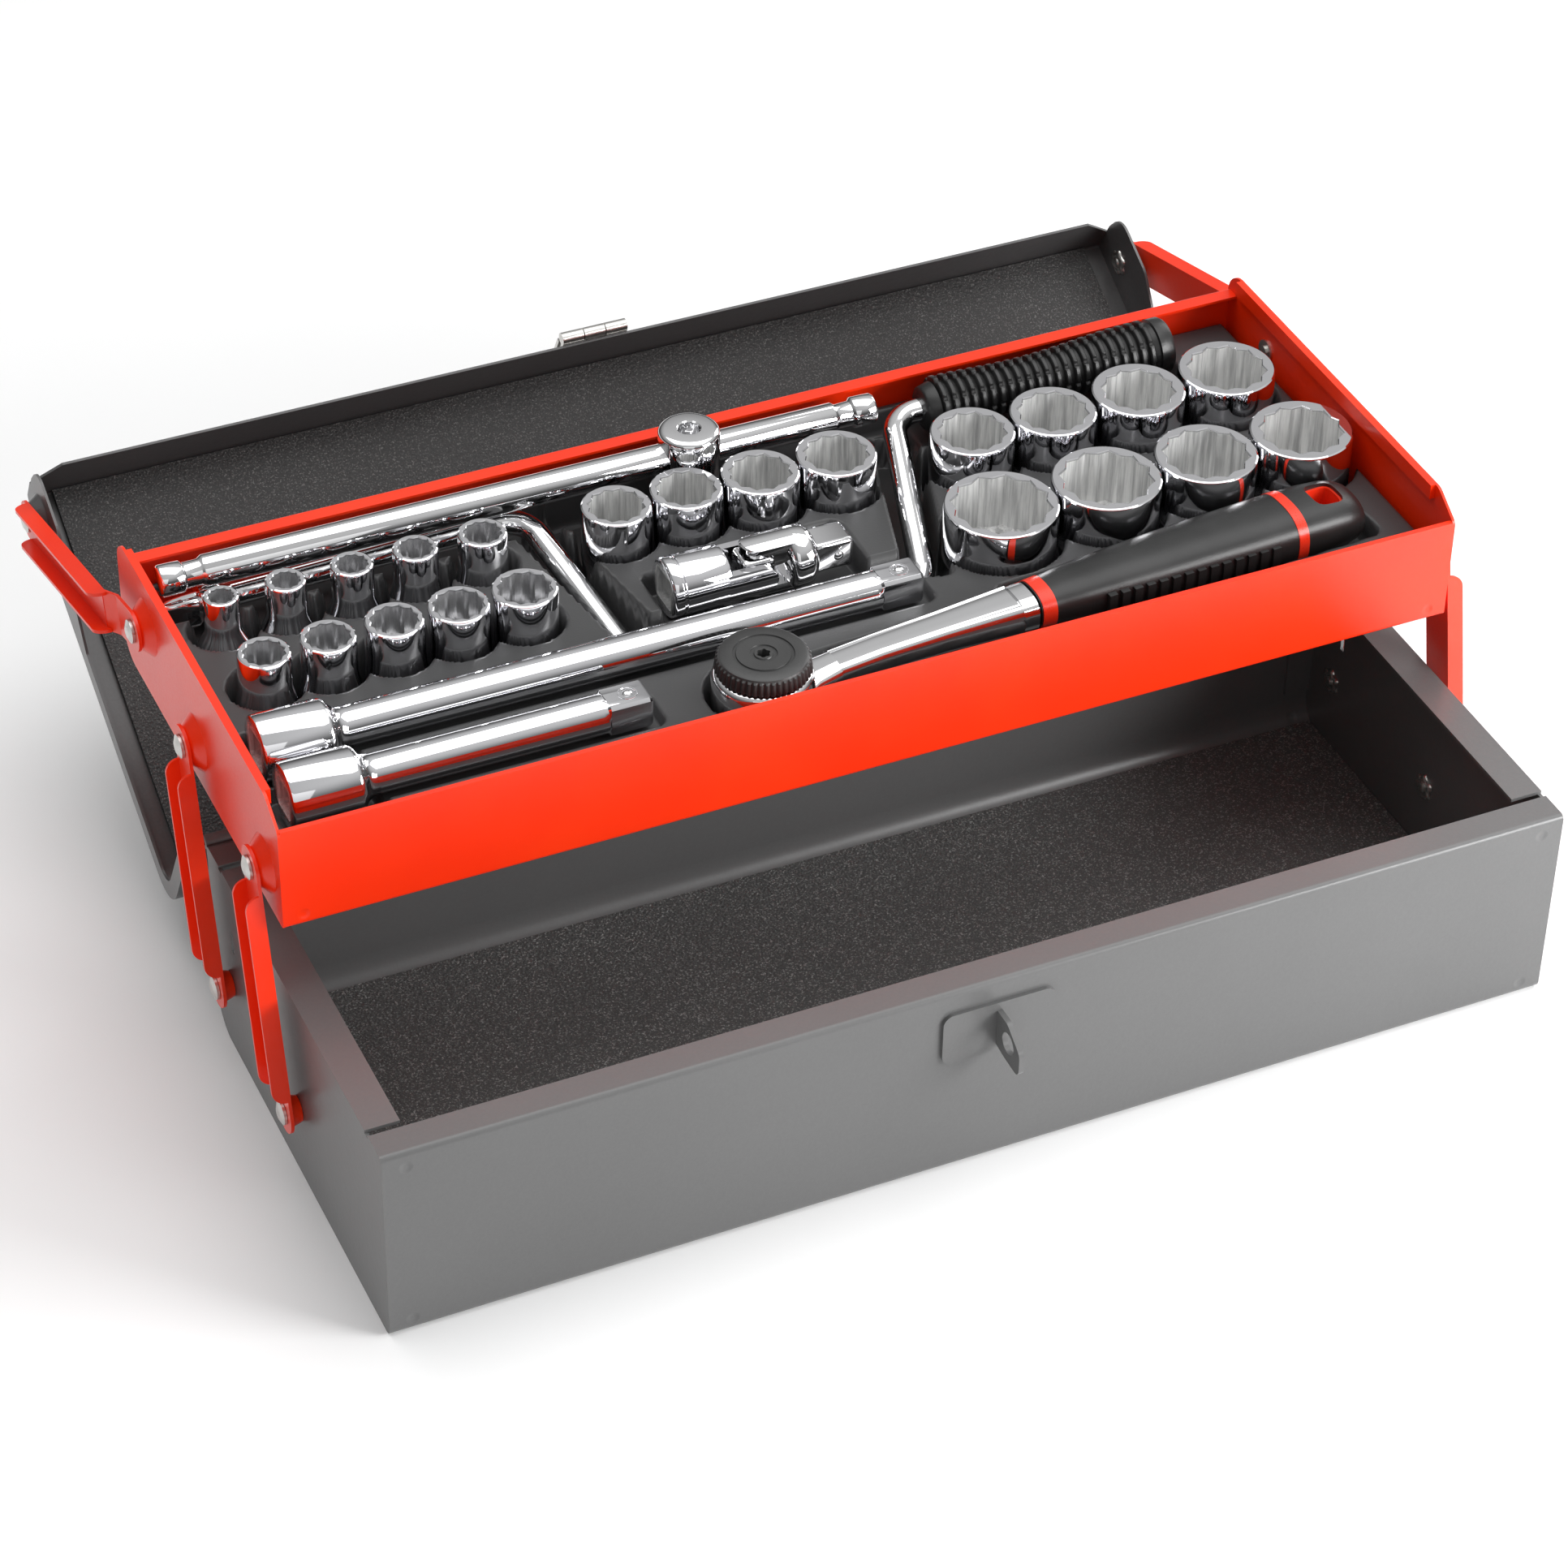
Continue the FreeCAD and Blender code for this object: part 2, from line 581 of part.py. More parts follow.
def lid_end():
    """left end of the lid: a narrow flange that grows into the ear of the lid link"""
    inner = shifted(lid_path(), LID_SHEET)
    deep = shifted(lid_path(), LID_END_FLANGE)
    outer = -HALF - LID_END_OUT
    rear = inner[:3]
    front_low = (inner[2][0], LID_TOP - LID_EAR_HEIGHT + 12, 2)
    ear_front = (inner[2][0] + 3, LID_TOP - LID_EAR_HEIGHT, 9)
    ear_rear = (LID_FRONT + LID_EAR_LENGTH, LID_TOP - LID_EAR_HEIGHT, 9)
    rise = LID_EAR_HEIGHT - LID_END_FLANGE
    taper = (ear_rear[0] + rise / math.tan(math.radians(LID_EAR_TAPER)), deep[1][1], 4)
    flange = slab(rear + [front_low, ear_front, ear_rear, taper, deep[1], deep[0]],
                  "yz", outer, outer + LID_SHEET)
    y, z = LID_PIVOT
    boss_reach = JOG_INNER + 0.25
    boss = cone((outer + 0.2, y, z), (boss_reach, y, z), 9.5, 6.4)
    drill = rod((boss_reach - 1, y, z), (outer + 3, y, z), RIVET_SHANK)
    return lid_open(fuse([flange, boss]).cut(drill))


def lid_rivet_tail():
    """the lid's half of the open pivot: a rolled tail and its shank in the ear"""
    y, z = LID_PIVOT
    inside = -HALF - LID_END_OUT + LID_SHEET
    shank = rod((JOG_INNER + 0.3, y, z), (inside + 0.2, y, z), RIVET_SHANK)
    tail = rod((inside, y, z), (inside + 0.7, y, z), RIVET_HEAD)
    button = rod((inside + 0.5, y, z), (inside + 1.2, y, z), RIVET_SHANK)
    return lid_open(fuse([shank, tail, button]))


def lid_liner():
    """speckled foam lining under the lid's top, round the rear bend"""
    inner = shifted(lid_path(), LID_SHEET + 0.1)
    edge = HALF + LID_END_OUT - LID_SHEET - LINER_END_GAP
    start = (inner[1][0], LID_TOP - 36.0, 0)
    end = (inner[2][0] + 0.5, inner[2][1], 0)
    return lid_open(bent_sheet([start, inner[1], end], LINER_THICKNESS, -edge, edge))


# ---- hinge ---------------------------------------------------------------------------
def hinge_knuckles(first):
    """every other knuckle along the pin"""
    count = int(BOX_LENGTH / HINGE_PITCH)
    start = -count * HINGE_PITCH / 2
    rings = []
    for i in range(first, count, 2):
        x0 = start + i * HINGE_PITCH + FIT_GAP / 2
        x1 = start + (i + 1) * HINGE_PITCH - FIT_GAP / 2
        rings.append((x0, x1))
    return rings


def hinge_leaf(first, near, far):
    """a leaf against the sheet at y = REAR from near to far, with knuckles round the pin"""
    pieces = [block(-HALF + 4, HALF - 4, REAR, REAR + HINGE_LEAF, min(near, far), max(near, far))]
    bores = []
    overlap = 1 if far > near else -1
    lip = sorted((HINGE_Z, near + overlap))
    for x0, x1 in hinge_knuckles(first):
        pieces.append(rod((x0, HINGE_Y, HINGE_Z), (x1, HINGE_Y, HINGE_Z), HINGE_KNUCKLE))
        pieces.append(block(x0, x1, REAR, REAR + HINGE_LEAF, lip[0], lip[1]))
        bores.append(rod((x0 - 0.1, HINGE_Y, HINGE_Z), (x1 + 0.1, HINGE_Y, HINGE_Z),
                         HINGE_PIN + HINGE_FIT))
    return fuse(pieces).cut(bores)


def box_hinge_leaf():
    return hinge_leaf(0, HINGE_Z - HINGE_KNUCKLE - 0.6, HINGE_Z - HINGE_LEAF_HEIGHT)


def lid_hinge_leaf():
    return lid_open(hinge_leaf(1, HINGE_Z + LID_WALL_START, HINGE_Z + HINGE_LEAF_HEIGHT))


def hinge_pin():
    return rod((-HALF + 0.5, HINGE_Y, HINGE_Z), (HALF - 0.5, HINGE_Y, HINGE_Z), HINGE_PIN)


# ---- hasp ----------------------------------------------------------------------------
HASP_FACE = LID_FRONT - HASP_SHEET
HASP_AXIS_Y = LID_FRONT - HASP_KNUCKLE - 0.1
HASP_AXIS_Z = LID_TOP - LID_FRONT_HEIGHT - 1.2


def hasp_knuckle(x0, x1):
    return rod((x0, HASP_AXIS_Y, HASP_AXIS_Z), (x1, HASP_AXIS_Y, HASP_AXIS_Z), HASP_KNUCKLE)


def hasp_bore():
    return rod((-HASP_WIDTH, HASP_AXIS_Y, HASP_AXIS_Z), (HASP_WIDTH, HASP_AXIS_Y, HASP_AXIS_Z),
               HASP_PIN + HINGE_FIT)


def hasp_plate():
    """fixed leaf on the lid's front, with two outer knuckles"""
    half = HASP_WIDTH / 2
    third = HASP_WIDTH / 3
    leaf = block(-half, half, HASP_FACE, LID_FRONT, HASP_AXIS_Z + 3.2, LID_TOP - 4)
    pieces = [leaf]
    for x0, x1 in ((-half, -half + third - 0.2), (half - third + 0.2, half)):
        pieces.append(hasp_knuckle(x0, x1))
        pieces.append(block(x0, x1, HASP_FACE, LID_FRONT, HASP_AXIS_Z, HASP_AXIS_Z + 4))
    return lid_open(fuse(pieces).cut(hasp_bore()))


def hasp_strap():
    """swinging strap with a slot for the staple, folded back over the lid's front"""
    half = HASP_WIDTH / 2
    third = HASP_WIDTH / 3
    near = HASP_AXIS_Y - HASP_KNUCKLE
    strap = slab([(-half, HASP_AXIS_Z + 3.4, 1), (half, HASP_AXIS_Z + 3.4, 1),
                  (half, HASP_AXIS_Z + HASP_LENGTH, 6), (-half, HASP_AXIS_Z + HASP_LENGTH, 6)],
                 "xz", near, near + HASP_SHEET)
    knuckle = hasp_knuckle(-half + third + 0.2, half - third - 0.2)
    neck = block(-half + third + 0.2, half - third - 0.2, near, near + HASP_SHEET,
                 HASP_AXIS_Z, HASP_AXIS_Z + 4)
    slot_near, slot_far, slot_width = HASP_SLOT
    wide = slot_width / 2
    slot = slab([(-wide, HASP_AXIS_Z + slot_near, 2), (wide, HASP_AXIS_Z + slot_near, 2),
                 (wide, HASP_AXIS_Z + slot_far, 2), (-wide, HASP_AXIS_Z + slot_far, 2)],
                "xz", near - 2, near + 4)
    return lid_open(fuse([strap, knuckle, neck]).cut([hasp_bore(), slot]))


def hasp_pin():
    half = HASP_WIDTH / 2
    return lid_open(rod((-half, HASP_AXIS_Y, HASP_AXIS_Z), (half, HASP_AXIS_Y, HASP_AXIS_Z),
                        HASP_PIN))


# ---- sockets -------------------------------------------------------------------------
def twelve_point(size, bottom, top):
    """the socket's mouth: two hexagons of that width, turned against each other"""
    tip = (size + 0.2) / math.sqrt(3)
    notch = (size + 0.2) / 2 / math.cos(math.radians(15))
    corners = []
    for i in range(24):
        radius = tip if i % 2 == 0 else notch
        angle = math.radians(15 * i)
        corners.append((radius * math.cos(angle), radius * math.sin(angle), 0))
    return slab(corners, "xy", bottom, top)


def socket(size):
    """an open-up socket standing on its drive end at the origin"""
    mouth, foot, length = SOCKETS[size]
    waist_low, waist_high = (0.36, 0.62) if mouth < foot else (0.30, 0.42)
    edge = 0.7
    profile = [(0, 0), (foot - edge, 0), (foot, edge), (foot, waist_low * length),
               (mouth, waist_high * length), (mouth, length - edge), (mouth - edge, length),
               (0, length)]
    points = [vector(r, 0, z) for r, z in profile]
    body = Part.Face(Part.makePolygon(points + points[:1])).revolve(vector(0, 0, 0), Z_AXIS, 360)
    deep = length * 0.58 if size > 12 else length * 0.5
    half = DRIVE_HOLE / 2
    drive = block(-half, half, -half, half, -1, 14.0)
    well = rod((0, 0, 13.0), (0, 0, length - deep + 1), min(size / 2 - 0.5, foot - 3))
    flare = cone((0, 0, length - 0.9), (0, 0, length + 0.1), size / math.sqrt(3) - 0.2,
                 size / math.sqrt(3) + 0.6)
    return body.cut([drive, well, twelve_point(size, length - deep, length + 1), flare])


def socket_foot(size):
    return SOCKET_TOP - SOCKETS[size][2]


def socket_row(row):
    return group([in_tray(moved(socket(size), x, y, socket_foot(size)))
                  for size, (x, y) in row.items()])


# ---- tools along X -------------------------------------------------------------------
def turned_profile(stations, y, z):
    """a body of revolution along X through stations (x, radius)"""
    points = [vector(stations[0][0], 0, 0)]
    points += [vector(x, 0, r) for x, r in stations]
    points.append(vector(stations[-1][0], 0, 0))
    body = Part.Face(Part.makePolygon(points + points[:1])).revolve(vector(0, 0, 0), X_AXIS, 360)
    return moved(body, 0, y, z)


def drive_hole(x0, x1, y, z):
    half = DRIVE_HOLE / 2
    return block(x0, x1, y - half, y + half, z - half, z + half)


def ball_seat(x, y, z):
    return Part.makeSphere(BALL, vector(x, y, z))


def extension(place):
    """bar with a female square at the left and a male square at the right"""
    left, right, y, z = place
    collar = left + EXTENSION_SOCKET_LENGTH
    square = right - 16
    bar = turned_profile([(left, EXTENSION_SOCKET - 0.8), (left + 0.8, EXTENSION_SOCKET),
                          (collar - 1, EXTENSION_SOCKET), (collar + 5, EXTENSION_BAR),
                          (square - 2, EXTENSION_BAR), (square, EXTENSION_BAR - 0.6)], y, z)
    male = square_bar((square - 1, y, z), right - square + 1, DRIVE)
    body = fuse([bar, male])
    return body.cut([drive_hole(left - 1, left + 16, y, z), ball_seat(*extension_ball(place))])


def extension_ball(place):
    left, right, y, z = place
    return right - 7.5, y, z + DRIVE / 2 - 1.6


def detent(place):
    return in_tray(ball_seat(*place))


def t_bar():
    """sliding bar with a grooved knob at each end"""
    y, z = T_BAR_PLACE
    left, right = T_BAR_ENDS
    r = T_BAR_RADIUS
    return turned_profile([(left, r - 0.6), (left + 0.6, r), (left + 9, r), (left + 10, r - 1.2),
                           (left + 15, r - 1.2), (left + 17, r), (right - 17, r),
                           (right - 15, r - 1.2), (right - 11, r - 1.2), (right - 10, r),
                           (right - 0.6, r), (right, r - 0.6)], y, z)


def t_head():
    """sliding head: cylinder with a cross bore, and the square drive below"""
    y, z = T_BAR_PLACE
    top = z + 11.0
    x = T_HEAD_X
    body = fuse([rod((x, y, z - 11.5), (x, y, top - 0.8), T_HEAD_RADIUS),
                 cone((x, y, top - 0.8), (x, y, top), T_HEAD_RADIUS, T_HEAD_RADIUS - 0.8),
                 cone((x, y, z - 14.5), (x, y, z - 11.5), 8.6, T_HEAD_RADIUS),
                 block(x - DRIVE / 2, x + DRIVE / 2, y - DRIVE / 2, y + DRIVE / 2,
                       z - 29.5, z - 14.0)])
    bore = rod((x - 20, y, z), (x + 20, y, z), T_BAR_RADIUS + 0.08)
    centre = rod((x, y, z), (x, y, top + 1), 4.0)
    return body.cut([bore, centre, ball_seat(*t_head_ball())])


def t_head_ball():
    y, z = T_BAR_PLACE
    return T_HEAD_X, y - DRIVE / 2 + 1.6, z - 22.0


# ---- speed brace ---------------------------------------------------------------------
def brace_axis(x):
    """point of the brace's turning axis at that x, in tray coordinates"""
    share = (x - BRACE_START[0]) / (BRACE_GRIP_END[0] - BRACE_START[0])
    return vector(x, BRACE_START[1] + share * (BRACE_GRIP_END[1] - BRACE_START[1]),
                  BRACE_START[2] + share * (BRACE_GRIP_END[2] - BRACE_START[2]))


def brace_points():
    elbow, crank_left, crank_right, shoulder = BRACE_BENDS
    offset = vector(0, *BRACE_CRANK)
    return [brace_axis(BRACE_START[0] + 22), brace_axis(elbow), brace_axis(crank_left) + offset,
            brace_axis(crank_right) + offset, brace_axis(shoulder),
            brace_axis(BRACE_GRIP_END[0] - 6)]


def bent_rod(points, bend, radius):
    """round rod through the points, with tangent arcs of one bend radius"""
    edges = []
    last = points[0]
    for i in range(1, len(points) - 1):
        here = points[i]
        back = points[i - 1] - here
        ahead = points[i + 1] - here
        back.normalize()
        ahead.normalize()
        half_turn = (math.pi - back.getAngle(ahead)) / 2
        run = bend * math.tan(half_turn)
        inward = back + ahead
        inward.normalize()
        enter, leave = here + back * run, here + ahead * run
        middle = here + inward * (bend / math.cos(half_turn) - bend)
        edges.append(Part.LineSegment(last, enter).toShape())
        edges.append(Part.Arc(enter, middle, leave).toShape())
        last = leave
    edges.append(Part.LineSegment(last, points[-1]).toShape())
    direction = points[1] - points[0]
    profile = Part.Wire([Part.makeCircle(radius, points[0], direction)])
    return Part.Wire(edges).makePipeShell([profile], True, False)


def along_brace(shape):
    """from a body drawn along +X from the origin to the brace's slightly raised axis"""
    direction = brace_axis(1.0) - brace_axis(0.0)
    lean = FreeCAD.Placement(brace_axis(BRACE_START[0]), FreeCAD.Rotation(X_AXIS, direction))
    placed = shape.copy()
    placed.Placement = lean.multiply(placed.Placement)
    return placed


def brace_crank():
    """square drive, collar and bent rod, ending in the grip's bore"""
    square = turned(square_bar((0, 0, 0), 15, DRIVE), (7.5, 0, 0), Z_AXIS, 180)
    collar = turned_profile([(14, 7.2), (15, 8.4), (22, 8.4), (27, BRACE_ROD)], 0, 0)
    head = along_brace(fuse([square, collar]))
    return fuse([head, bent_rod(brace_points(), 13.0, BRACE_ROD)])


def brace_grip():
    """ribbed waisted grip that turns on the rod"""
    length = BRACE_GRIP_END[0] - GRIP_START
    stations = []
    ribs = 19
    pitch = (length - 12) / ribs
    for i in range(ribs):
        x = 6 + i * pitch
        share = x / length
        waist = GRIP_RADIUS - 1.9 * math.sin(math.pi * min(1.0, share * 1.25)) ** 2
        stations += [(x, waist - 1.3), (x + 0.2, waist), (x + pitch * 0.62, waist),
                     (x + pitch * 0.66, waist - 1.3)]
    end = [(length - 5, GRIP_RADIUS - 0.6), (length - 2, GRIP_RADIUS - 1.2), (length, GRIP_RADIUS - 4)]
    body = turned_profile([(0, 8.2), (1.5, 9.2), (5.5, GRIP_RADIUS - 1.6)] + stations + end, 0, 0)
    bore = rod((-1, 0, 0), (length - 4.5, 0, 0), BRACE_ROD + 0.08)
    return along_brace(moved(body.cut(bore), GRIP_START - BRACE_START[0], 0, 0))


# ---- universal joint -----------------------------------------------------------------
CROSS_X = JOINT_PLACE[0] + 35.0
EAR_INSIDE = 6.9
EAR_HALF = 5.5


def fork(x_root, x_pin, y, z, upright):
    """two ears that reach from the root past the pin, side by side or one over the other"""
    side = 1 if x_pin > x_root else -1
    tip, throat = x_pin + side * 5.5, x_root + side * 6
    near, far = sorted((x_root, tip))
    slot_near, slot_far = sorted((throat, tip + side))
    body = rod((near, y, z), (far, y, z), JOINT_RADIUS)
    gap = block(slot_near, slot_far, y - EAR_INSIDE, y + EAR_INSIDE, z - 20, z + 20)
    trims = [block(slot_near, slot_far, y - 20, y + 20, z + EAR_HALF, z + 20),
             block(slot_near, slot_far, y - 20, y + 20, z - 20, z - EAR_HALF)]
    return turned(body.cut([gap] + trims), (x_pin, y, z), X_AXIS, 90 if upright else 0)


def joint_socket_yoke():
    x, y, z = JOINT_PLACE
    root = x + 23
    barrel = turned_profile([(x, JOINT_RADIUS - 0.8), (x + 0.8, JOINT_RADIUS),
                             (root, JOINT_RADIUS)], y, z)
    ears = fork(root - 6.5, CROSS_X, y, z, False)
    pin = rod((CROSS_X, y - 20, z), (CROSS_X, y + 20, z), 2.6)
    return fuse([barrel, ears]).cut([drive_hole(x - 1, x + 15, y, z), pin])


def joint_cross():
    """centre block with its two pins"""
    y, z = JOINT_PLACE[1:]
    half = 6.1
    core = block(CROSS_X - half, CROSS_X + half, y - half, y + half, z - half, z + half)
    level = rod((CROSS_X, y - JOINT_RADIUS + 0.6, z), (CROSS_X, y + JOINT_RADIUS - 0.6, z), 2.54)
    upright = rod((CROSS_X, y, z - JOINT_RADIUS + 0.6), (CROSS_X, y, z + JOINT_RADIUS - 0.6), 2.54)
    return fuse([core, level, upright])


def joint_drive_yoke():
    x, y, z = JOINT_PLACE
    root = x + 57
    end = x + 72
    body = fuse([fork(root - 0.5, CROSS_X, y, z, True),
                 turned_profile([(root - 6, JOINT_RADIUS), (root - 1, JOINT_RADIUS),
                                 (root + 2, 8.2)], y, z),
                 square_bar((root, y, z), end - root, DRIVE)])
    pin = rod((CROSS_X, y, z - 20), (CROSS_X, y, z + 20), 2.6)
    return body.cut([pin, ball_seat(*joint_ball())])


def joint_ball():
    x, y, z = JOINT_PLACE
    return x + 66, y - DRIVE / 2 + 1.6, z


# ---- ratchet -------------------------------------------------------------------------
def place_ratchet(shape):
    """from the ratchet's own frame, handle along +X, to its pocket in the tray"""
    return in_tray(moved(turned(shape, (0, 0, 0), Z_AXIS, RATCHET_TURN),
                         RATCHET_PLACE[0], RATCHET_PLACE[1], 0))


def oval(x, half_width, half_height, centre):
    """an oval section across the handle at that x, wider than it is high"""
    wire = Part.Wire([Part.Ellipse(vector(0, 0, 0), half_width, half_height).toShape()])
    wire.rotate(vector(0, 0, 0), Z_AXIS, 90)
    wire.rotate(vector(0, 0, 0), Y_AXIS, 90)
    wire.translate(vector(x, 0, centre))
    return wire


GRIP_SECTIONS = [(0.0, 9.5, 7.4), (0.08, 10.2, 8.0), (0.3, 12.0, 9.4), (0.6, 13.8, 10.8),
                 (0.8, 14.6, 11.2), (0.93, 14.4, 10.8), (1.0, 11.0, 8.0)]


def grip_section(share):
    """half width and half height of the ratchet's grip at a share of its length"""
    for (a, wa, ha), (b, wb, hb) in zip(GRIP_SECTIONS[:-1], GRIP_SECTIONS[1:]):
        if share <= b:
            t = (share - a) / (b - a)
            return wa + t * (wb - wa), ha + t * (hb - ha)
    return GRIP_SECTIONS[-1][1:]


def ratchet_grip():
    start, end = RATCHET_GRIP
    length = end - start
    sections = [oval(start + share * length, w, h, RATCHET_AXIS_Z) for share, w, h in GRIP_SECTIONS]
    body = Part.makeLoft(sections, True, False)
    tang = rod((start - 1, 0, RATCHET_AXIS_Z), (start + 96, 0, RATCHET_AXIS_Z), 5.0)
    hole = slab([(end - 19, -6.5, 3), (end - 7, -6.5, 3), (end - 7, 6.5, 3), (end - 19, 6.5, 3)],
                "xy", 0, 60)
    return place_ratchet(body.cut([tang, hole] + band_seats(0.0)))


def band_seats(inset):
    """two rings around the grip, a little way in from each end"""
    start, end = RATCHET_GRIP
    length = end - start
    rings = []
    for low, high in ((0.015, 0.085), (0.765, 0.83)):
        sections = []
        inner = []
        for share in (low, high):
            w, h = grip_section(share)
            x = start + share * length
            sections.append(oval(x, w + 0.35 - inset, h + 0.35 - inset, RATCHET_AXIS_Z))
            inner.append(oval(x, w - 1.2, h - 1.2, RATCHET_AXIS_Z))
        rings.append(Part.makeLoft(sections, True, True).cut(Part.makeLoft(inner, True, True)))
    return rings


def ratchet_bands():
    return group([place_ratchet(ring) for ring in band_seats(0.0)])


def ratchet_body():
    """head, tapering neck and the tang inside the grip"""
    disc_low = RATCHET_DISC_TOP - RATCHET_DISC_HEIGHT
    head = fuse([rod((0, 0, 15.5), (0, 0, disc_low - 0.3), RATCHET_HEAD),
                 cone((0, 0, 13.5), (0, 0, 15.5), RATCHET_HEAD - 2, RATCHET_HEAD)])
    z = RATCHET_AXIS_Z
    neck = Part.makeLoft([oval(8, 9.6, 5.6, z - 4), oval(30, 7.6, 5.2, z - 1.5),
                          oval(60, 7.4, 5.6, z), oval(RATCHET_GRIP[0] - 0.2, 8.6, 6.6, z)],
                         True, False)
    tang = rod((RATCHET_GRIP[0] - 6, 0, z), (RATCHET_GRIP[0] + 95, 0, z), 4.9)
    body = fuse([head, neck, tang])
    spindle = rod((0, 0, 0), (0, 0, 60), 7.06)
    return place_ratchet(body.cut(spindle))


def ratchet_drive():
    """spindle with the square drive, turning in the head"""
    disc_low = RATCHET_DISC_TOP - RATCHET_DISC_HEIGHT
    spindle = rod((0, 0, 11.0), (0, 0, disc_low - 0.6), 7.0)
    collar = rod((0, 0, 11.0), (0, 0, 13.2), 9.6)
    half = DRIVE / 2
    square = block(-half, half, -half, half, 3.0, 11.4)
    return place_ratchet(fuse([spindle, collar, square]).cut(ball_seat(*ratchet_ball())))


def ratchet_ball():
    return -DRIVE / 2 + 1.6, 0, 7.0


def ratchet_selector():
    """knurled direction disc with a hexagon in its middle"""
    low = RATCHET_DISC_TOP - RATCHET_DISC_HEIGHT
    top = RATCHET_DISC_TOP
    disc = fuse([rod((0, 0, low), (0, 0, top - 1), RATCHET_DISC),
                 cone((0, 0, top - 1), (0, 0, top), RATCHET_DISC, RATCHET_DISC - 1.2)])
    flutes = []
    count = 48
    for i in range(count):
        angle = 2 * math.pi * i / count
        x, y = (RATCHET_DISC + 0.5) * math.cos(angle), (RATCHET_DISC + 0.5) * math.sin(angle)
        flutes.append(rod((x, y, low - 1), (x, y, top - 2.2), 0.85))
    hexagon = [(2.4 * math.cos(math.radians(60 * i)), 2.4 * math.sin(math.radians(60 * i)), 0)
               for i in range(6)]
    recess = rod((0, 0, top - 0.6), (0, 0, top + 1), 11.0).cut(rod((0, 0, top - 1), (0, 0, top + 2), 9.6))
    return place_ratchet(disc.cut(flutes + [slab(hexagon, "xy", top - 4, top + 1), recess]))


# ---- moulded insert ------------------------------------------------------------------
def pockets():
    """the room that each tool needs, as (shape maker, floor height): grown by a margin"""
    rooms = []

    def well(x, y, radius, floor):
        rooms.append(lambda grow: rod((x, y, floor - grow), (x, y, 60), radius + grow))

    def trough(x0, x1, y0, y1, floor):
        rooms.append(lambda grow: block(x0 - grow, x1 + grow, y0 - grow, y1 + grow,
                                        floor - grow, 60))

    for row in SOCKET_ROWS.values():
        for size, (x, y) in row.items():
            mouth, foot, length = SOCKETS[size]
            well(x, y, max(mouth, foot) + POCKET_GAP * 0.8, SOCKET_TOP - length - FLOOR_GAP)
    bar_y = T_BAR_PLACE[0]
    trough(T_BAR_ENDS[0] - 2.5, BRACE_BENDS[0] + 12, bar_y - 8.5, bar_y + 12.4, 14.0)
    slide_low = T_HEAD_X + T_HEAD_TRAVEL[0] - T_HEAD_RADIUS - 1
    slide_high = T_HEAD_X + T_HEAD_TRAVEL[1] + T_HEAD_RADIUS + 1
    trough(slide_low, slide_high, bar_y - T_HEAD_RADIUS - 0.5, bar_y + T_HEAD_RADIUS + 0.7, 9.6)
    trough(slide_high - 1, GRIP_START - 2, bar_y - 10, bar_y + 11.2, 18.0)
    trough(GRIP_START - 6, BRACE_GRIP_END[0] + 3.5, bar_y - 13.5, bar_y + 12.0, 20.5)
    rooms.append(lambda grow: brace_arm(0, 1, grow))
    rooms.append(lambda grow: brace_arm(3, 2, grow))
    points = brace_points()
    trough(points[2].x - 7, points[3].x + 7, points[3].y - 5.2, points[2].y + 6.6, 5.6)
    for left, right, y, z in (LONG_EXTENSION, SHORT_EXTENSION):
        collar = left + EXTENSION_SOCKET_LENGTH + 6.5
        trough(left - 2.5, collar, y - EXTENSION_SOCKET - 0.8, y + EXTENSION_SOCKET + 0.8,
               z - EXTENSION_SOCKET - FLOOR_GAP)
        trough(collar - 1, right + 3, y - EXTENSION_BAR - 1, y + EXTENSION_BAR + 1,
               z - EXTENSION_BAR - 0.6)
    x, y, z = JOINT_PLACE
    trough(x - 3, CROSS_X, y - JOINT_RADIUS - 1, y + JOINT_RADIUS + 1, z - JOINT_RADIUS - FLOOR_GAP)
    trough(CROSS_X - 9, x + 75, y - JOINT_RADIUS - 2.6, y + JOINT_RADIUS + 5,
           z - JOINT_RADIUS - 2.2)
    x, y = RATCHET_PLACE
    well(x, y, RATCHET_HEAD + 0.8, 2.6)
    rooms.append(lambda grow: handle_room(14, RATCHET_GRIP[0], 10.4 + grow, 19.6 - grow))
    rooms.append(lambda grow: handle_room(RATCHET_GRIP[0] - 4 - grow, RATCHET_GRIP[1] + 2 + grow,
                                          15.8 + grow, 17.6 - grow))
    return rooms


def brace_arm(axis_end, crank_end, grow):
    """slanted trough under one arm of the brace"""
    points = brace_points()[1:5]
    a, b = points[axis_end], points[crank_end]
    margin = BRACE_ROD + 2.8 + grow
    run = vector(b.x - a.x, b.y - a.y, 0)
    run.normalize()
    side = vector(-run.y, run.x, 0) * margin
    a, b = vector(a.x, a.y, 0) - run * margin, vector(b.x, b.y, 0) + run * margin
    corners = [(p.x, p.y, 0) for p in (a - side, b - side, b + side, a + side)]
    return slab(corners, "xy", 5.6 - grow, 60)


def handle_room(x0, x1, half_width, floor):
    corners = [(x0, -half_width, 4), (x1, -half_width, 4), (x1, half_width, 4), (x0, half_width, 4)]
    room = slab(corners, "xy", floor, 60)
    return moved(turned(room, (0, 0, 0), Z_AXIS, RATCHET_TURN), *RATCHET_PLACE, 0)


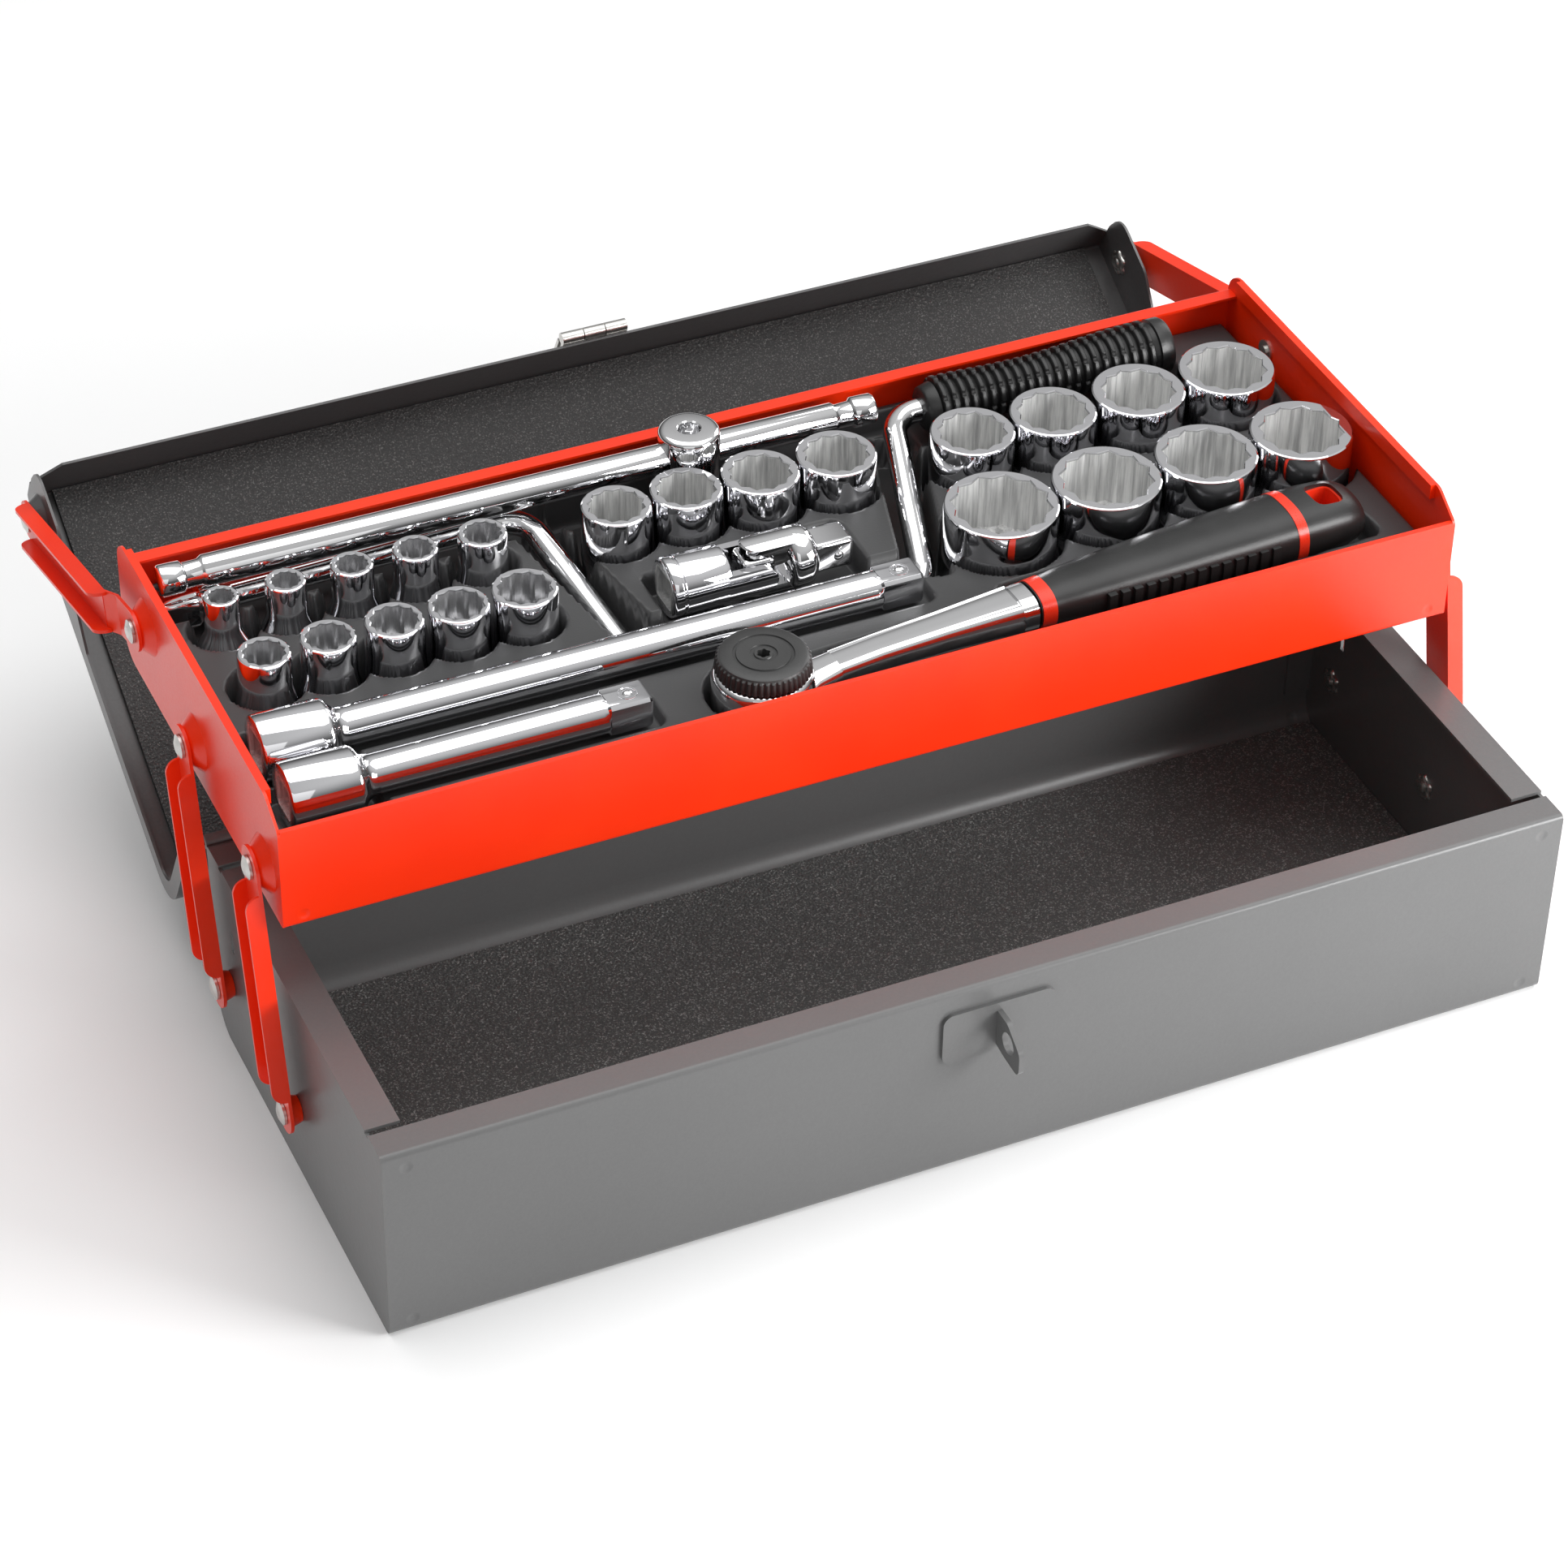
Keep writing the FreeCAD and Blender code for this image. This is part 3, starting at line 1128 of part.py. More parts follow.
def tool_insert():
    """one formed plastic sheet: a top plate, a skirt and a thin-walled pocket for each tool"""
    wall = INSERT_WALL
    x0, x1 = 3 * TRAY_SHEET + 0.1, BOX_LENGTH - 3 * TRAY_SHEET - 0.1
    y0, y1 = 2 * TRAY_SHEET + 0.5, TRAY_DEPTH - TRAY_SHEET - 0.3
    low = TRAY_SHEET + 0.2
    rear_lift = TRAY_REAR_RADIUS + 0.5
    plate = block(x0, x1, y0, y1, PLATE_TOP - wall, PLATE_TOP)
    skirts = [block(x0, x1, y0, y0 + wall, low, PLATE_TOP),
              block(x0, x1, y1 - wall, y1, rear_lift, PLATE_TOP),
              block(x0, x0 + wall, y0, y1, rear_lift, PLATE_TOP),
              block(x1 - wall, x1, y0, y1, rear_lift, PLATE_TOP)]
    hull = block(x0, x1, y0, y1, low, PLATE_TOP)
    rooms = pockets()
    cups = [room(wall).common(hull) for room in rooms]
    formed = plate.fuse(skirts + cups)
    return in_tray(formed.cut([room(0) for room in rooms]).removeSplitter())


# ---- everything ----------------------------------------------------------------------
def box_nodes():
    left = box_end()
    lower = [rivet(y, LINK_PIVOT_Z, LINK_OUTER - LINK_FACE_GAP, -HALF + BOX_SHEET)
             for y in link_pivots()]
    return {
        "box_body": bent_sheet(box_path(), BOX_SHEET, -HALF, HALF),
        "box_end_left": left,
        "box_end_right": mirrored(left),
        "box_mat": box_mat(),
        "hasp_staple": staple(),
        "lower_link_rivets": group(lower + [mirrored(r) for r in lower]),
        "box_hinge_leaf": box_hinge_leaf(),
        "lid_hinge_pin": hinge_pin(),
    }


def link_nodes():
    nodes = {}
    for name, y in zip(("front_link", "rear_link"), link_pivots()):
        link = placed_link(y)
        nodes[name + "_left"] = link
        nodes[name + "_right"] = mirrored(link)
    body, stud = upper_link()
    upper, stud = place_upper(body), place_upper(stud)
    nodes["upper_link_left"] = upper
    nodes["upper_link_right"] = mirrored(upper)
    nodes["upper_link_studs"] = both_ends(stud)
    return nodes


def tray_nodes():
    left = in_tray(tray_end())
    pivots = tray_pivots()
    link_rivets = [in_tray(r) for r in tray_rivets(pivots[:2])]
    upper_rivets = [in_tray(r) for r in tray_rivets(pivots[2:])]
    return {
        "tray_pan": in_tray(tray_pan()),
        "tray_end_left": left,
        "tray_end_right": mirrored(left),
        "tray_link_rivets": group(link_rivets + [mirrored(r) for r in link_rivets]),
        "upper_link_rivets": group(upper_rivets + [mirrored(r) for r in upper_rivets]),
        "tool_insert": tool_insert(),
    }


def lid_nodes():
    left, tail = lid_end(), lid_rivet_tail()
    return {
        "lid_panel": lid_panel(),
        "lid_end_left": left,
        "lid_end_right": mirrored(left),
        "lid_liner": lid_liner(),
        "lid_rivet_tails": both_ends(tail),
        "lid_hinge_leaf": lid_hinge_leaf(),
        "hasp_plate": hasp_plate(),
        "hasp_pin": hasp_pin(),
        "hasp_strap": hasp_strap(),
    }


def tool_nodes():
    nodes = {name: socket_row(row) for name, row in SOCKET_ROWS.items()}
    nodes["t_handle_bar"] = in_tray(t_bar())
    nodes["t_handle_head"] = in_tray(t_head())
    nodes["t_handle_ball"] = detent(t_head_ball())
    nodes["brace_crank"] = in_tray(brace_crank())
    nodes["brace_grip"] = in_tray(brace_grip())
    for name, place in (("long_extension", LONG_EXTENSION), ("short_extension", SHORT_EXTENSION)):
        nodes[name] = in_tray(extension(place))
        nodes[name + "_ball"] = detent(extension_ball(place))
    nodes["joint_socket_yoke"] = in_tray(joint_socket_yoke())
    nodes["joint_cross"] = in_tray(joint_cross())
    nodes["joint_drive_yoke"] = in_tray(joint_drive_yoke())
    nodes["joint_ball"] = detent(joint_ball())
    nodes["ratchet_body"] = ratchet_body()
    nodes["ratchet_grip"] = ratchet_grip()
    nodes["ratchet_bands"] = ratchet_bands()
    nodes["ratchet_selector"] = ratchet_selector()
    nodes["ratchet_drive"] = ratchet_drive()
    nodes["ratchet_ball"] = place_ratchet(ball_seat(*ratchet_ball()))
    return nodes


def main():
    os.makedirs("parts", exist_ok=True)
    nodes = {}
    for made in (box_nodes(), link_nodes(), tray_nodes(), lid_nodes(), tool_nodes()):
        nodes.update(made)
    for name, shape in nodes.items():
        shape.exportStep(os.path.join("parts", name + ".step"))
    return nodes


NODES = main()
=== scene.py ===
import json
import math

import bmesh
import bpy
from mathutils import Matrix, Vector

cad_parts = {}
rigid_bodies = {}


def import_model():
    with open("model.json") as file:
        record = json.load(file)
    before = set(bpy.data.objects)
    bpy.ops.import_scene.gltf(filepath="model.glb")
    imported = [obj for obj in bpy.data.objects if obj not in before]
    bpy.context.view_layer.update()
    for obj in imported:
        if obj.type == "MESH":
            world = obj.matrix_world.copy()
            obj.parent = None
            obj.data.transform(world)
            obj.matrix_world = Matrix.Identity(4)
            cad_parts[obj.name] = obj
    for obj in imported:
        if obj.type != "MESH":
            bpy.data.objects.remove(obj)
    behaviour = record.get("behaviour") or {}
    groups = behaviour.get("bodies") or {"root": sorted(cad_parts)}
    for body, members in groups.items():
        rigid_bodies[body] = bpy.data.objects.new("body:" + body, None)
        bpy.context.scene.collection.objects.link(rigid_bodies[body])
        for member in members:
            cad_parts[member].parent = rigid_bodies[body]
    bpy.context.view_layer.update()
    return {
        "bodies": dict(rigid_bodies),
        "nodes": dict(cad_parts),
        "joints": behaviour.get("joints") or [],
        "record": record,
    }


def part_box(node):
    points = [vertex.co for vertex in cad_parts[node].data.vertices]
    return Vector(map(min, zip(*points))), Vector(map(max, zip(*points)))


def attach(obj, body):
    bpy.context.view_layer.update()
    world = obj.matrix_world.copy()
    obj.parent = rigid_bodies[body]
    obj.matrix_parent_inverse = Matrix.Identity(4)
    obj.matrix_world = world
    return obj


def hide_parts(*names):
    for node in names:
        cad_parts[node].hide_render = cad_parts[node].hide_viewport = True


# Looks of a cantilever toolbox that stands open.  Metres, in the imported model's own frame:
# +X along the box, +Y to the rear, +Z up, origin in the middle of the box's bottom.

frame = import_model()
NODES = frame["nodes"]
MM = 0.001

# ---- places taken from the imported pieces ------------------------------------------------
TRAY_LOW, TRAY_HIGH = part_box("tray_pan")
TRAY_ORIGIN = Vector((-0.225, TRAY_LOW.y, TRAY_LOW.z))
PLATE_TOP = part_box("tool_insert")[1].z - TRAY_LOW.z


def in_tray(x, y, z=0.0):
    """tray millimetres (left end, front, underside) to metres in the frame"""
    return TRAY_ORIGIN + Vector((x, y, z)) * MM


# ---- node trees ----------------------------------------------------------------------------
class Field:
    """A number inside a node tree.  Arithmetic on it adds Math nodes."""

    def __init__(self, tree, socket):
        self.tree = tree
        self.socket = socket

    def math(self, operation, *others, clamp=False):
        node = self.tree.nodes.new("ShaderNodeMath")
        node.operation = operation
        node.use_clamp = clamp
        for place, value in zip(node.inputs, (self,) + others):
            if isinstance(value, Field):
                self.tree.links.new(value.socket, place)
            else:
                place.default_value = value
        return Field(self.tree, node.outputs[0])

    def constant(self, value):
        node = self.tree.nodes.new("ShaderNodeValue")
        node.outputs[0].default_value = value
        return Field(self.tree, node.outputs[0])

    def __add__(self, other):
        return self.math("ADD", other)

    def __radd__(self, other):
        return self.math("ADD", other)

    def __sub__(self, other):
        return self.math("SUBTRACT", other)

    def __rsub__(self, other):
        return self.constant(other).math("SUBTRACT", self)

    def __mul__(self, other):
        return self.math("MULTIPLY", other)

    def __rmul__(self, other):
        return self.math("MULTIPLY", other)

    def __truediv__(self, other):
        return self.math("DIVIDE", other)

    def __rtruediv__(self, other):
        return self.constant(other).math("DIVIDE", self)

    def __neg__(self):
        return self.math("MULTIPLY", -1.0)

    def __pow__(self, other):
        return self.math("POWER", other)

    def __gt__(self, other):
        return self.math("GREATER_THAN", other)

    def __lt__(self, other):
        return self.math("LESS_THAN", other)

    def __abs__(self):
        return self.math("ABSOLUTE")

    def least(self, other):
        return self.math("MINIMUM", other)

    def most(self, other):
        return self.math("MAXIMUM", other)

    def root(self):
        return self.math("SQRT")

    def clamped(self):
        return self.math("ADD", 0.0, clamp=True)

    def step(self, low, high):
        """0 below low, 1 above high, and a smooth rise between them"""
        share = ((self - low) / (high - low)).clamped()
        return share * share * (3.0 - 2.0 * share)


class Graph:
    """A node tree with one way to add any node: its type, its settings, its inputs."""

    def __init__(self, tree):
        self.tree = tree

    def node(self, kind, settings=None, **sockets):
        node = self.tree.nodes.new(kind)
        for name, value in (settings or {}).items():
            setattr(node, name, value)
        for name, value in sockets.items():
            self.feed(node.inputs[name.replace("_", " ")], value)
        return node

    def feed(self, place, value):
        if isinstance(value, Field):
            self.tree.links.new(value.socket, place)
        elif isinstance(value, bpy.types.NodeSocket):
            self.tree.links.new(value, place)
        else:
            place.default_value = value

    def field(self, node, output=0):
        return Field(self.tree, node.outputs[output])

    def parts(self, vector):
        split = self.node("ShaderNodeSeparateXYZ")
        self.feed(split.inputs[0], vector)
        return [self.field(split, i) for i in range(3)]

    def vector(self, x, y, z):
        join = self.node("ShaderNodeCombineXYZ")
        for place, value in zip(join.inputs, (x, y, z)):
            self.feed(place, value)
        return join.outputs[0]

    def blend(self, share, low, high):
        """a colour between two colours"""
        mix = self.node("ShaderNodeMix", {"data_type": "RGBA"})
        for index, value in ((0, share), (6, low), (7, high)):
            self.feed(mix.inputs[index], value)
        return mix.outputs[2]


def colour(red, green, blue):
    return (red, green, blue, 1.0)


class Paint(Graph):
    """A material: its object coordinates, noises, bumps and one Principled shader."""

    def __init__(self, name):
        self.material = bpy.data.materials.new(name)
        self.material.use_nodes = True
        super().__init__(self.material.node_tree)
        self.shader = self.tree.nodes["Principled BSDF"]
        self.place = self.node("ShaderNodeTexCoord")
        self.here = self.place.outputs["Object"]
        self.facing = self.place.outputs["Normal"]

    def noise(self, scale, detail=3.0, rough=0.5, where=None, stretch=None):
        vector = where or self.here
        if stretch:
            vector = self.node("ShaderNodeMapping", Vector=vector, Scale=stretch).outputs[0]
        made = self.node("ShaderNodeTexNoise", Vector=vector, Scale=scale, Detail=detail,
                         Roughness=rough)
        return self.field(made)

    def cells(self, scale, feature="F1"):
        made = self.node("ShaderNodeTexVoronoi", {"feature": feature}, Vector=self.here, Scale=scale)
        return self.field(made)

    def set(self, **sockets):
        for name, value in sockets.items():
            self.feed(self.shader.inputs[name.replace("_", " ")], value)
        return self

    def bump(self, *layers):
        """layers of (height, strength, distance in metres), one over the other"""
        normal = None
        for height, strength, distance in layers:
            made = self.node("ShaderNodeBump", Strength=strength, Distance=distance, Height=height)
            if normal is not None:
                self.feed(made.inputs["Normal"], normal)
            normal = made.outputs[0]
        self.feed(self.shader.inputs["Normal"], normal)
        return self

    def dimples(self, spots, radius):
        """1 in the middle of each round spot (x, z), seen along Y, 0 outside them all"""
        x, _, z = self.parts(self.here)
        total = None
        for at_x, at_z in spots:
            off = ((x - at_x) * (x - at_x) + (z - at_z) * (z - at_z)).root()
            dent = 1.0 - off.step(radius * 0.2, radius)
            total = dent if total is None else total + dent
        return total

    def inward(self, centre):
        """1 where a face looks towards that point, 0 where it looks away"""
        x, y, z = self.parts(self.here)
        nx, ny, nz = self.parts(self.facing)
        towards = (centre[0] - x) * nx + (centre[1] - y) * ny + (centre[2] - z) * nz
        return towards.step(-0.001, 0.001)


# ---- materials -------------------------------------------------------------------------------
def grey_paint(name, centre, outside, inside, spots=((9.0, 9.0),)):
    """satin grey enamel outside, and painted shade: a darker grey on the faces that look inwards"""
    paint = Paint(name)
    cloud = paint.noise(9.0, 4.0)
    speck = paint.noise(900.0, 2.0)
    scuff = paint.noise(60.0, 6.0, 0.7, stretch=(1.0, 7.0, 7.0)).step(0.66, 0.74)
    # painted shade: faces that look towards the centre get the inside colour, a darker grey that stands
    # in for the shade inside
    inward_painted_shade = paint.inward(centre)
    tone_with_painted_shade = paint.blend(inward_painted_shade, colour(*outside), colour(*inside))
    mottled = paint.blend((cloud - 0.5) * 0.14 + (speck - 0.5) * 0.08 + 0.07, tone_with_painted_shade,
                          colour(0.30, 0.30, 0.30))
    paint.set(Base_Color=mottled, Roughness=0.36 + (cloud - 0.5) * 0.10 + scuff * 0.06,
              IOR=1.5, Coat_Weight=0.20, Coat_Roughness=0.22)
    paint.bump((speck, 0.08, 0.0002), (paint.noise(260.0, 2.0), 0.10, 0.0005),
               (paint.dimples(spots, 0.0028), 0.6, -0.0006))
    return paint.material


def orange_paint():
    """glossy orange-red enamel with a faint orange peel"""
    paint = Paint("orange_enamel")
    cloud = paint.noise(14.0, 3.0)
    peel = paint.noise(420.0, 1.5)
    speck = paint.noise(1500.0, 1.0)
    spots = [(-0.2175, TRAY_LOW.z + 0.0045), (0.2175, TRAY_LOW.z + 0.0045)]
    paint.set(Base_Color=paint.blend(cloud.step(0.35, 0.7), colour(0.93, 0.027, 0.0006),
                                     colour(0.97, 0.035, 0.0012)),
              Roughness=0.34 + (speck - 0.5) * 0.12 + (cloud - 0.5) * 0.06,
              Specular_IOR_Level=0.42, Coat_Weight=0.22, Coat_Roughness=0.20)
    paint.bump((peel, 0.10, 0.0003), (paint.dimples(spots, 0.0026), 0.6, -0.0006))
    return paint.material


def chrome(name="polished_chrome", rough=0.035, tint=(0.80, 0.80, 0.81)):
    """polished chrome plate: fine polishing lines and faint fingerprints"""
    paint = Paint(name)
    smear = paint.noise(45.0, 4.0, 0.6)
    lines = paint.noise(700.0, 2.0, stretch=(0.12, 1.0, 1.0))
    shade = paint.blend(smear, colour(*[c * 0.93 for c in tint]), colour(*tint))
    paint.set(Base_Color=shade, Metallic=1.0,
              Roughness=rough + smear * 0.04 + (lines - 0.5) * 0.02)
    paint.bump((lines, 0.006, 0.0001))
    return paint.material


def socket_steel():
    """chrome outside and a bead-blasted, streaked bore, told apart by the mesh's own mark"""
    paint = Paint("socket_chrome")
    mark = paint.field(paint.node("ShaderNodeAttribute", {"attribute_name": "bore"}), 2)
    smear = paint.noise(45.0, 4.0, 0.6)
    grain = paint.noise(1100.0, 3.0, 0.7)
    streak = paint.noise(330.0, 4.0, 0.7, stretch=(1.0, 1.0, 0.06))
    bright = paint.blend(smear, colour(0.74, 0.74, 0.76), colour(0.80, 0.80, 0.82))
    dull = paint.blend(streak.step(0.30, 0.66), colour(0.50, 0.50, 0.50),
                       colour(0.96, 0.96, 0.95))
    paint.set(Base_Color=paint.blend(mark, bright, dull), Metallic=1.0 - mark * 0.35,
              Roughness=0.04 + smear * 0.03 + mark * (0.24 + grain * 0.16))
    paint.bump((grain * mark, 0.04, 0.0001), (streak * mark, 0.35, 0.0004))
    return paint.material


def zinc():
    """zinc-plated steel: soft brushed sheen with a slightly cloudy plating"""
    paint = Paint("zinc_plate")
    cloud = paint.noise(120.0, 5.0, 0.65)
    lines = paint.noise(900.0, 2.0, stretch=(0.2, 1.0, 1.0))
    paint.set(Base_Color=paint.blend(cloud, colour(0.50, 0.49, 0.47), colour(0.74, 0.73, 0.70)),
              Metallic=1.0, Roughness=0.22 + cloud * 0.16 + (lines - 0.5) * 0.06)
    paint.bump((lines, 0.08, 0.0002))
    return paint.material


def foam(name, dark, light, amount):
    """closed-cell foam with a pebbled skin and pale specks"""
    paint = Paint(name)
    pebble = paint.cells(950.0)
    grain = paint.noise(1400.0, 3.0, 0.7)
    cloud = paint.noise(25.0, 3.0)
    speck = grain.step(0.52, 0.70) * (0.5 + cloud)
    paint.set(Base_Color=paint.blend(speck * amount, colour(*dark), colour(*light)),
              Roughness=0.62 + (grain - 0.5) * 0.3, Specular_IOR_Level=0.45)
    paint.bump((pebble, 0.55, 0.0006), (grain, 0.35, 0.0004))
    return paint.material


def insert_plastic():
    """black formed plastic with a satin grain and a light dust"""
    paint = Paint("formed_plastic")
    grain = paint.noise(1300.0, 2.0, 0.6)
    cloud = paint.noise(30.0, 4.0)
    dust = paint.noise(2400.0, 2.0).step(0.70, 0.80) * cloud
    paint.set(Base_Color=paint.blend(dust * 0.30, colour(0.050, 0.050, 0.051),
                                     colour(0.17, 0.17, 0.17)),
              Roughness=0.38 + (cloud - 0.5) * 0.12 + (grain - 0.5) * 0.10)
    paint.bump((grain, 0.16, 0.00025))
    return paint.material


def moulded(name, tint, light, rough):
    """moulded handle plastic with a fine texture"""
    paint = Paint(name)
    grain = paint.noise(1700.0, 2.0)
    cloud = paint.noise(60.0, 3.0)
    paint.set(Base_Color=paint.blend(cloud.step(0.3, 0.8), colour(*tint), colour(*light)),
              Roughness=rough + (grain - 0.5) * 0.14 + (cloud - 0.5) * 0.06)
    paint.bump((grain, 0.22, 0.0002))
    return paint.material


LID_LOW, LID_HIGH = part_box("lid_panel")
GREY = (0.100, 0.100, 0.100)
# the inside grey is painted shade for the faces that look into the box
INWARD_PAINTED_SHADE_GREY = (0.098, 0.098, 0.098)
LOOKS = {
    "box_paint": grey_paint("box_paint", (0.0, 0.0, 0.041), GREY, INWARD_PAINTED_SHADE_GREY,
                            [(-0.2165, 0.0755), (0.2165, 0.0755), (-0.2165, 0.006),
                             (0.2165, 0.006)]),
    # the lid's much darker inside grey is painted shade on the faces that look into the lid
    "lid_paint": grey_paint("lid_paint", (0.0, 0.190, 0.085), GREY, (0.045, 0.045, 0.046)),
    "orange": orange_paint(),
    "chrome": chrome(),
    "socket": socket_steel(),
    "zinc": zinc(),
    "mat": foam("mat_foam", (0.100, 0.102, 0.100), (0.62, 0.62, 0.60), 0.70),
    "liner": foam("liner_foam", (0.030, 0.030, 0.030), (0.30, 0.30, 0.29), 0.50),
    "insert": insert_plastic(),
    "grip": moulded("black_handle", (0.012, 0.012, 0.012), (0.020, 0.020, 0.020), 0.36),
    "disc": moulded("black_disc", (0.034, 0.034, 0.034), (0.046, 0.046, 0.046), 0.40),
    "band": moulded("red_ring", (0.78, 0.030, 0.008), (0.86, 0.040, 0.012), 0.30),
}

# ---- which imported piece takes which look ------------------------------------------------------
NODE_LOOKS = {
    "box_paint": ["box_body", "box_end_left", "box_end_right", "box_hinge_leaf", "hasp_staple"],
    "lid_paint": ["lid_panel", "lid_end_left", "lid_end_right", "lid_hinge_leaf"],
    "orange": ["tray_pan", "tray_end_left", "tray_end_right", "front_link_left",
               "front_link_right", "rear_link_left", "rear_link_right", "upper_link_left",
               "upper_link_right"],
    "zinc": ["lower_link_rivets", "tray_link_rivets", "upper_link_rivets", "upper_link_studs",
             "lid_rivet_tails", "lid_hinge_pin", "hasp_plate", "hasp_pin", "hasp_strap"],
    "mat": ["box_mat"],
    "liner": ["lid_liner"],
    "insert": ["tool_insert"],
    "grip": ["brace_grip", "ratchet_grip"],
    "disc": ["ratchet_selector"],
    "band": ["ratchet_bands"],
}
CHROMED = [name for name in NODES if not any(name in names for names in NODE_LOOKS.values())]
NODE_LOOKS["chrome"] = CHROMED
BEVELS = {"box_body": 0.35, "box_end_left": 0.4, "box_end_right": 0.4, "tray_pan": 0.35,
          "tray_end_left": 0.35, "tray_end_right": 0.35, "lid_panel": 0.35}


def dress(name, look):
    node = NODES[name]
    node.data.materials.clear()
    node.data.materials.append(LOOKS[look])
    if name in ("tool_insert",):
        return
    width = BEVELS.get(name, 0.25)
    bevel = node.modifiers.new("edges", "BEVEL")
    bevel.width = width * MM
    bevel.segments = 2
    bevel.limit_method = "ANGLE"
    bevel.angle_limit = math.radians(38)
    bevel.harden_normals = True


for look, names in NODE_LOOKS.items():
    for name in names:
        dress(name, look)

# ---- building meshes -------------------------------------------------------------------------
def grown(name, build, values, look):
    """Runs a Geometry Nodes group with those named inputs and keeps the result as a plain mesh."""
    tree = bpy.data.node_groups.new(name, "GeometryNodeTree")
    tree.interface.new_socket("Geometry", in_out="OUTPUT", socket_type="NodeSocketGeometry")
    for label, value in values.items():
        kind = "NodeSocketInt" if isinstance(value, int) else "NodeSocketFloat"
        tree.interface.new_socket(label, in_out="INPUT", socket_type=kind)
    graph = Graph(tree)
    source = tree.nodes.new("NodeGroupInput")
    fields = {label: Field(tree, source.outputs[label]) for label in values}
    shape = build(graph, fields)
    real = graph.node("GeometryNodeRealizeInstances", Geometry=shape)
    painted = graph.node("GeometryNodeSetMaterial", Geometry=real.outputs[0],
                         Material=LOOKS[look])
    sink = tree.nodes.new("NodeGroupOutput")
    tree.links.new(painted.outputs[0], sink.inputs[0])
    holder = bpy.data.objects.new(name, bpy.data.meshes.new(name))
    bpy.context.scene.collection.objects.link(holder)
    modifier = holder.modifiers.new("grow", "NODES")
    modifier.node_group = tree
    for item in tree.interface.items_tree:
        if item.in_out == "INPUT":
            modifier[item.identifier] = values[item.name]
    bpy.context.view_layer.update()
    seen = holder.evaluated_get(bpy.context.evaluated_depsgraph_get())
    mesh = bpy.data.meshes.new_from_object(seen)
    holder.modifiers.clear()
    holder.data = mesh
    return holder


def round_ring(size, angle):
    return size


def square_ring(size, angle):
    """half side size, with slightly broken corners"""
    quarter = (angle + math.pi / 4) % (math.pi / 2) - math.pi / 4
    return min(size / math.cos(quarter), size * 1.30)


def star_ring(size, angle):
    """a twelve-point opening of that width across flats"""
    third = math.pi / 3
    first = size / 2 / math.cos((angle % third) - third / 2)
    second = size / 2 / math.cos(((angle + third / 2) % third) - third / 2)
    return max(first, second)


def slotted_ring(size, angle):
    """a handle rib that eight lengthwise slots cross"""
    off = abs((angle + math.pi / 8) % (math.pi / 4) - math.pi / 8)
    return size - 0.9 * max(0.0, 1 - max(0.0, off - 0.05) / 0.05)


def flower_ring(size, angle):
    """the petals of a spread rivet tail"""
    return size * (1 + 0.11 * math.cos(6 * angle))


def knurled_ring(size, angle):
    """a grip ring of straight flutes"""
    return size - 0.9 * abs(math.sin(angle * 24)) ** 3


class Builder:
    """Collects rings of points into one mesh."""

    def __init__(self):
        self.mesh = bmesh.new()
        self.bore = self.mesh.verts.layers.float.new("bore")

    def ring(self, points, bore=0.0):
        verts = [self.mesh.verts.new(point) for point in points]
        for vert in verts:
            vert[self.bore] = bore
        return verts

    def bridge(self, a, b):
        count = len(a)
        for i in range(count):
            j = (i + 1) % count
            self.mesh.faces.new((a[i], a[j], b[j], b[i]))

    def skin(self, rings, closed=False, start_cap=False, end_cap=False):
        for a, b in zip(rings[:-1], rings[1:]):
            self.bridge(a, b)
        if closed:
            self.bridge(rings[-1], rings[0])
        if start_cap:
            self.mesh.faces.new(rings[0][::-1])
        if end_cap:
            self.mesh.faces.new(rings[-1])

    def turn(self, stations, place, sides=64, closed=False, phase=0.0):
        """Rings (height mm, ring shape, size mm, bore) about the Z axis, moved by the matrix place."""
        rings = []
        for height, shape, size, bore in stations:
            points = []
            for i in range(sides):
                angle = 2 * math.pi * i / sides
                reach = shape(size, angle + phase)
                points.append(place @ Vector((reach * math.cos(angle), reach * math.sin(angle),
                                              height)) * 1.0)
            rings.append(self.ring(points, bore))
        self.skin(rings, closed, not closed, not closed)

    def finish(self, name, look, sharp=33.0):
        bmesh.ops.recalc_face_normals(self.mesh, faces=self.mesh.faces)
        mesh = bpy.data.meshes.new(name)
        self.mesh.to_mesh(mesh)
        self.mesh.free()
        for face in mesh.polygons:
            face.use_smooth = True
        mesh.set_sharp_from_angle(angle=math.radians(sharp))
        mesh.materials.append(LOOKS[look])
        made = bpy.data.objects.new(name, mesh)
        bpy.context.scene.collection.objects.link(made)
        return made


def upright(x, y, z):
    """places a body drawn in millimetres along Z at that point of the tray"""
    return Matrix.Translation(in_tray(x, y, z)) @ Matrix.Scale(MM, 4)


ALONG_X = Matrix.Rotation(math.radians(90), 4, "Y")


def lying(x, y, z):
    """the same for a body that lies along +X"""
    return upright(x, y, z) @ ALONG_X


def stand_for(piece, body, slot, *nodes):
    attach(piece, body)
    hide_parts(*nodes)
    return piece


